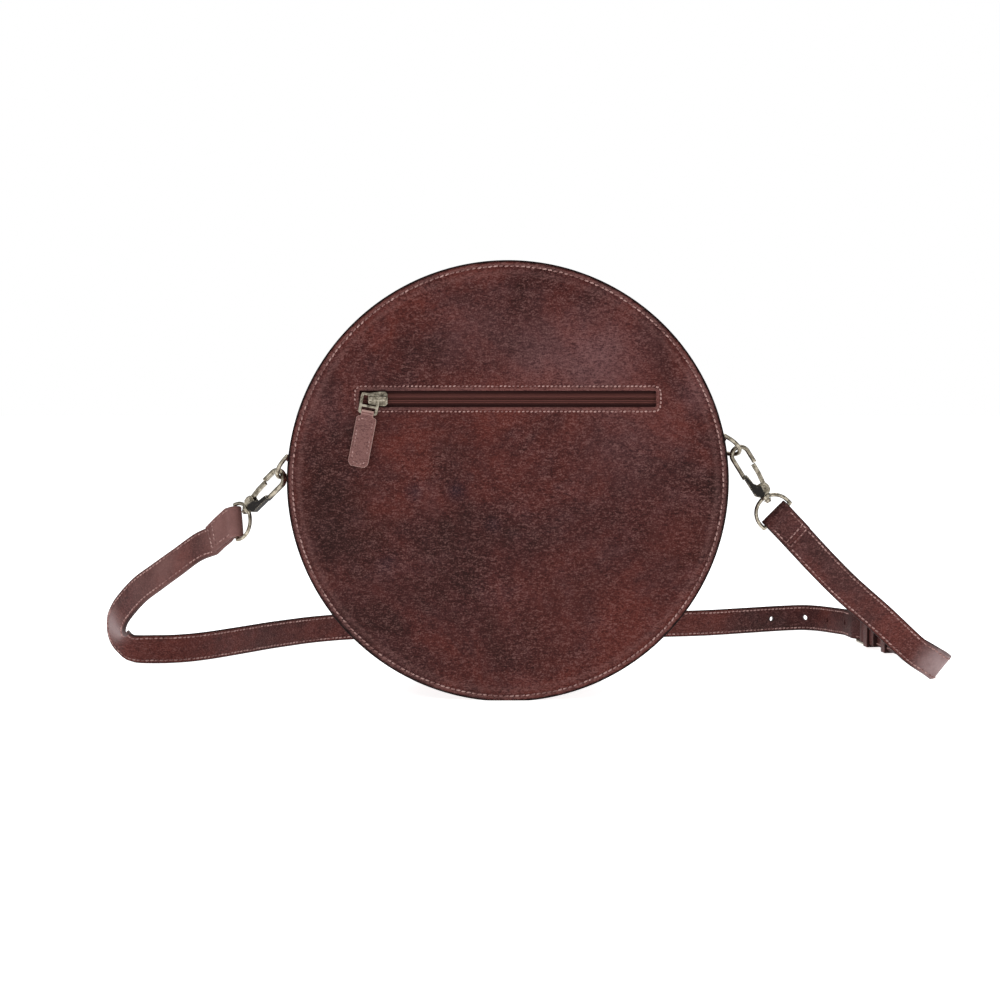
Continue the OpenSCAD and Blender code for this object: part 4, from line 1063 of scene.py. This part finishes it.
def strap_rows(band, sign, low, high):
    """Two rows of stitches on one face of the strap between two distances."""
    made = []
    s = np.arange(low, high, 1.0)
    for u in (-ROW_OUT, ROW_OUT):
        places = band.place(s, u, sign * (STRAP_T / 2 - ROW_SINK))
        made += row_of_stitches(places, sign * band.at(band.out, s), slant=0.1)
    return made


def cross_rows(band, sign, distances):
    """Rows of stitches across one face of the strap."""
    made = []
    us = np.linspace(-ROW_OUT, ROW_OUT, 20)
    for s in distances:
        places = [band.place(s, u, sign * (STRAP_T / 2 - CROSS_SINK)) for u in us]
        made += row_of_stitches(places, sign * band.at(band.out, s), slant=0.1)
    return made


def punch(target, point, axis, radius, length):
    """Cuts a round hole along an axis, its middle at a point."""
    axis = unit(axis)
    side = unit(np.cross(axis, [0.3, 0.5, 0.81]))
    other = np.cross(axis, side)
    rings = [[point + axis * h + radius * (math.cos(a) * side + math.sin(a) * other) for a in full_turn(28)]
        for h in (-length / 2, length / 2)]
    cut_with(target, rings)


HOLE_PITCH = 24
HOLE_R = 1.6
PUNCH_L = 8
# Stitches keep off a flap's end, a fold's crest and the crosspiece. Two rows cross each flap
END_CLEAR = 1.5
FOLD_CLEAR = 6
CROSS_CLEAR = 4
FLAP_ROWS = (1.4, 4.9)


def strap(node, band, tight, tip=False):
    shape, paint_and_shade = strap_shape(band, tight, tip)
    return piece(node + "_leather", shape, LEATHER_STRAP, "bag", [node], 55, paint_and_shade)


def straps():
    left_end, right_end = end_frames("left"), end_frames("right")
    left_bar, right_bar = loop_bar("left"), loop_bar("right")
    left_route = [route_frame(row) for row in LEFT_ROUTE_SHARES]
    right_route = [route_frame(row) for row in RIGHT_ROUTE_SHARES]
    left_run = curve([left_end[-1]] + left_route + [long_end()[0]])
    right_run = curve([short_start()[-1]] + right_route + [right_end[-1]])
    band = Band(left_end + left_run[1:-1] + long_end())

    wrap = fold_middle(band, left_bar, FOLD_L * 2)
    buckle_s = band.nearest(buckle_point(-BUCKLE_L / 2, 0))
    made = strap("strap_long", band, [(0, wrap * 2 + 4), (buckle_s - 16, buckle_s + 24)], tip=True)
    crossing = band.nearest(buckle_point(-BUCKLE_L * 0.35, 1.5))
    for k in range(-4, 3):
        s = crossing + k * HOLE_PITCH
        punch(made, band.at(band.points, s), band.at(band.out, s), HOLE_R, PUNCH_L)
    outer = outer_sign(band, left_bar, wrap)
    lines = strap_rows(band, outer, END_CLEAR, wrap - FOLD_CLEAR) + cross_rows(band, outer, FLAP_ROWS)
    # No stitches where the buckle's crosspiece turns
    under = band.nearest(buckle_point(-BUCKLE_L, -CROSS_WRAP))
    for sign, low in ((outer, wrap + FOLD_CLEAR), (-outer, wrap * 2 + 1)):
        lines += strap_rows(band, sign, low, under - CROSS_CLEAR)
        lines += strap_rows(band, sign, under + CROSS_CLEAR, band.length - CROSS_CLEAR)
    sewn("strap_long_stitches", lines)

    band = Band(short_start() + right_run[1:-1] + right_end[::-1])
    bar = band.nearest(buckle_point(-BAR_WRAP, 0))
    wrap = fold_middle(band, right_bar, -FOLD_L * 2)
    strap("strap_short", band, [(0, bar + 14), (wrap - 8, band.length)])
    outer = outer_sign(band, right_bar, wrap)
    lines = strap_rows(band, outer, bar + FOLD_CLEAR, wrap - FOLD_CLEAR)
    lines += strap_rows(band, outer, wrap + FOLD_CLEAR, band.length - END_CLEAR)
    lines += strap_rows(band, -outer, bar * 2 + 2, 2 * wrap - band.length - 1)
    lines += cross_rows(band, outer, [band.length - s for s in FLAP_ROWS])
    sewn("strap_short_stitches", lines)


def fold_middle(band, bar, window):
    """Distance along the strap to the crest of the fold round a bar."""
    low, high = (0, window) if window > 0 else (band.length + window, band.length)
    inside = (band.s >= low) & (band.s <= high)
    places = band.s[inside]
    near = np.linalg.norm(band.points[inside] - bar, axis=1) < LOOP_WIRE / 2 + STRAP_T * 2
    return float(places[near].mean())


def outer_sign(band, bar, s):
    """1 where the strap's out direction looks away from a bar, or else -1."""
    return 1 if np.dot(band.at(band.out, s), band.at(band.points, s) - bar) > 0 else -1


# Camera, light and floor

# Name, place, what it looks at, size in metres and power
LAMPS = (
    ("key", (-0.9, -1.1, 1.25), (0, 0, 0.11), 0.7, 9),
    ("fill", (1.1, -0.9, 0.7), (0, 0, 0.11), 0.9, 3.5),
    ("top", (0.1, 0.25, 1.5), (0, 0, 0.1), 1.0, 9),
)
CAMERA_LENS = 72.576
CAMERA_PLACE = (-0.0039, -1.035, 0.1658)
CAMERA_DOWN = 3.72
WORLD_LIGHT = 0.36
FLOOR_HALF = 6000
FLOOR_GLOW = 0.86


def studio():
    scene = bpy.context.scene
    scene.view_settings.view_transform = "Standard"
    camera = bpy.data.cameras.new("camera")
    camera.sensor_width = 36
    camera.lens = CAMERA_LENS
    view = in_scene("camera", camera)
    view.location = CAMERA_PLACE
    view.rotation_euler = (math.radians(90 - CAMERA_DOWN), 0, 0)
    scene.camera = view

    world = bpy.data.worlds.new("studio")
    world.use_nodes = True
    nodes, links = world.node_tree.nodes, world.node_tree.links
    background = nodes["Background"]
    background.inputs["Color"].default_value = (1, 1, 1, 1)
    path = nodes.new("ShaderNodeLightPath")
    level = nodes.new("ShaderNodeMapRange")
    level.inputs["To Min"].default_value = WORLD_LIGHT
    level.inputs["To Max"].default_value = 1.0
    links.new(path.outputs["Is Camera Ray"], level.inputs["Value"])
    links.new(level.outputs[0], background.inputs["Strength"])
    scene.world = world

    for name, place, target, size, power in LAMPS:
        light = bpy.data.lights.new(name, "AREA")
        light.shape = "DISK"
        light.size = size
        light.energy = power
        made = in_scene(name, light)
        made.location = place
        made.rotation_euler = (Vector(target) - Vector(place)).to_track_quat("-Z", "Y").to_euler()

    t = Tree("floor")
    colour = t.mix(t.noise(3, 2), (0.93, 0.93, 0.93, 1), (0.96, 0.96, 0.96, 1))
    t.finish(Base_Color=colour, Roughness=0.9, Specular_IOR_Level=0.1,
        Emission_Color=(1, 1, 1, 1), Emission_Strength=FLOOR_GLOW)
    corners = [(sx * FLOOR_HALF, sy * FLOOR_HALF, 0) for sx, sy in ((-1, -1), (1, -1), (1, 1), (-1, 1))]
    ground = in_scene("floor", mesh_of("floor", corners, [(0, 1, 2, 3)]))
    ground.data.materials.append(t.material)


# Hardware and small leather parts: the frame's solids with worn, rounded edges

def rounded_copy(node, voxel, passes):
    """One mesh of a node's solid, remeshed evenly and smoothed."""
    copy = in_scene("copy", frame["nodes"][node].data.copy())
    weld = copy.modifiers.new("weld", "WELD")
    weld.merge_threshold = 0.00001
    remesh = copy.modifiers.new("remesh", "REMESH")
    remesh.mode = "VOXEL"
    remesh.voxel_size = voxel * MM
    smooth = copy.modifiers.new("smooth", "SMOOTH")
    smooth.factor = 0.5
    smooth.iterations = passes
    mesh = settled(copy)
    bpy.data.objects.remove(copy)
    return mesh


def mesh_rows(items, key):
    """Three numbers for each of a mesh's items, as rows."""
    values = np.empty(len(items) * 3)
    items.foreach_get(key, values)
    return values.reshape(-1, 3)


def spread(values, ends, rounds):
    """Values averaged over each point's neighbours, several times. The ends are those of the edges."""
    size = len(values)
    count = np.bincount(ends.ravel(), minlength=size)[:, None]
    first, second = ends.T
    for _ in range(rounds):
        columns = [np.bincount(first, column[second], size) + np.bincount(second, column[first], size)
            for column in values.T]
        values = np.stack(columns, -1) / np.maximum(count, 1)
    return values


def hollows(mesh, rounds=8):
    """How far each point lies below its surroundings, in millimetres."""
    ends = np.empty(len(mesh.edges) * 2, int)
    mesh.edges.foreach_get("vertices", ends)
    points = mesh_rows(mesh.vertices, "co")
    off = spread(points, ends.reshape(-1, 2), rounds) - points
    return np.sum(off * mesh_rows(mesh.vertex_normals, "vector"), axis=1) / MM


body_of = {node: body for body, nodes in frame["record"]["behaviour"]["bodies"].items() for node in nodes}
# Soot for each millimetre of hollow, on flat metal, and at the least and the most
SOOT_GAIN = 2.4
SOOT_BASE = 0.04
SOOT_LIMITS = (-0.2, 0.4)


def dressed(node, ending, material, voxel=0.22, passes=4, paint_and_shade=None, more_shade=None):
    """A rounded copy of a node that takes its place. Its soot_and_shade attribute is high in hollows, as patina,
    and holds any painted shade that is given.
    """
    mesh = rounded_copy(node, voxel, passes)
    mesh.materials.clear()
    mesh.materials.append(material)
    soot_and_shade = np.clip(hollows(mesh) * SOOT_GAIN + SOOT_BASE, *SOOT_LIMITS)
    if more_shade is not None:
        soot_and_shade = soot_and_shade + more_shade(mesh_rows(mesh.vertices, "co") / MM)
    keep_values(mesh, "soot_and_shade", soot_and_shade)
    if paint_and_shade is not None:
        keep_values(mesh, "paint_and_shade", paint_and_shade(mesh_rows(mesh.vertex_normals, "vector")))
    mesh.shade_smooth()
    made = in_scene(node + ending, mesh)
    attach(made, body_of[node])
    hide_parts(node)


def hook_shade(side):
    """Black on the lower half of a hook's spine and on the base beneath it, away from the gate: part patina, part
    painted shade where they lie in shadow.
    """
    swivel = "hook_swivel_" + side
    axis, foot = unit(joints[swivel]["axis"]), joint_at(swivel)
    to_gate = joint_at("gate_" + side) - foot
    to_gate = unit(to_gate - np.dot(to_gate, axis) * axis)

    def soot_and_shade(points):
        up, out = (points - foot) @ axis, (points - foot) @ to_gate
        ribs = 0.85 + 0.15 * np.sin(up * 5.5)
        return 0.5 * smoothstep(1.6, -0.6, out) * smoothstep(18, 12, up) * ribs
    return soot_and_shade


def cast(node, voxel=0.22, passes=4, more_shade=None):
    dressed(node, "_cast", BRASS, voxel, passes, more_shade=more_shade)


def hardware():
    for side in ("left", "right"):
        # Each hook gets painted shade on its base and spine, on top of its patina
        cast("hook_" + side, more_shade=hook_shade(side))
        cast("gate_" + side, 0.16)
        cast("ring_" + side)
        cast("swivel_loop_" + side)
    for place in ("pocket", "main"):
        cast(place + "_slider", 0.14, 3)
        cast(place + "_link", 0.12, 3)
    cast("buckle_frame")
    cast("buckle_prong", 0.16)


def own_frame(node):
    """Middle of a flat part with its long, wide and thin directions, and half its size along each."""
    points = mesh_rows(frame["nodes"][node].data.vertices, "co") / MM
    corners = np.unique(points.round(3), axis=0)
    _, _, axes = np.linalg.svd(corners - corners.mean(axis=0), full_matrices=False)
    along = corners @ axes.T
    low, high = along.min(axis=0), along.max(axis=0)
    return (low + high) / 2 @ axes, axes, (high - low) / 2


def cut_edges(thin):
    """Paint on the faces that do not look along the thin direction."""
    return lambda normals: smoothstep(0.995, 0.9, np.abs(normals @ thin))


TAB_SEAM_IN = 1.5
TAB_CORNER = 2.4
TAB_EYE_L = 4.4
TAB_SEAM_HALF = 1.06
TAB_PITCH = 1.8
TAB_THREAD = 0.3


def pull_tab(place):
    """The folded leather tab, with a stitched border on both of its faces."""
    node = place + "_tab"
    middle, (long, wide, thin), (half_l, half_w, _) = own_frame(node)
    if np.dot(long, middle - joint_at(node + "_lift")) < 0:
        long = -long
    if np.dot(thin, -middle if place == "pocket" else np.array([-1, 0, 0])) < 0:
        thin = -thin
    # Pale edges, part raw leather and part painted highlight
    dressed(node, "_leather", LEATHER_TAB, 0.2, 5, cut_edges(thin))
    end = middle + long * half_l
    reach = half_w - TAB_SEAM_IN

    def at(from_end, out):
        return end - long * from_end + wide * out

    half = [at(2 * half_l - TAB_EYE_L, reach)]
    for a in np.linspace(0, math.pi / 2, 6):
        off = TAB_CORNER * (1 - np.array([math.sin(a), math.cos(a)]))
        half.append(at(TAB_SEAM_IN + off[0], reach - off[1]))
    path = half + [p - 2 * np.dot(p - end, wide) * wide for p in half[::-1]] + half[:1]
    lines = []
    for face in (thin, -thin):
        places = np.array(path) + face * TAB_SEAM_HALF
        dense = np.concatenate([np.linspace(a, b, 12)[:-1] for a, b in zip(places[:-1], places[1:])])
        lines += row_of_stitches(dense, face, TAB_PITCH, slant=0.06, thread=TAB_THREAD)
    sewn(node + "_stitches", lines, node)


def keepers():
    """The leather keepers round the two layers of strap, their cut edges painted."""
    run = np.array([math.cos(BUCKLE_TURN), math.sin(BUCKLE_TURN), 0])
    for node in ("fixed_keeper", "slide_keeper"):
        dressed(node, "_leather", LEATHER_KEEPER, 0.25, 5,
            lambda normals: smoothstep(0.6, 0.8, np.abs(normals @ run)))


RING_FOOT_T = 1.2
RING_SEAM_OUT = 7.4
RING_SEAM_HALF_L = 3.8
RING_PITCH = 2.2


def ring_tabs():
    """The leather loops that hold the rings, each sewn to the gusset by its foot."""
    lines = []
    foot = GUSSET_OUT + RING_FOOT_T
    for side in ("left", "right"):
        node = "ring_tab_" + side
        low, high = box_mm(node)
        dressed(node, "_leather", LEATHER, 0.25, 5)
        middle = math.atan2((low.z + high.z) / 2 - CENTRE_Z, foot)
        for step in (-RING_SEAM_OUT, RING_SEAM_OUT):
            a = middle + step / foot
            turn = a if side == "right" else math.pi - a
            lines += band_row(foot - CROSS_SINK, turn, RING_SEAM_HALF_L, 12, RING_PITCH)
    sewn("ring_tab_stitches", lines)


# Finish of the frame's own nodes

def finish_nodes():
    finishes = {
        "pocket_board": BOARD, "plain_board": BOARD, "pocket_lining": CLOTH, "plain_lining": CLOTH,
        "gusset_lining": CLOTH, "pocket_pouch": CLOTH, "main_zip_stops": BRASS_DARK,
    }
    for name, node in frame["nodes"].items():
        node.data.materials.clear()
        node.data.materials.append(finishes.get(name, BRASS))


finish_nodes()
panels()
slot_frame()
pocket_zip()
gusset()
main_zip()
straps()
hardware()
pull_tab("pocket")
pull_tab("main")
keepers()
ring_tabs()
studio()
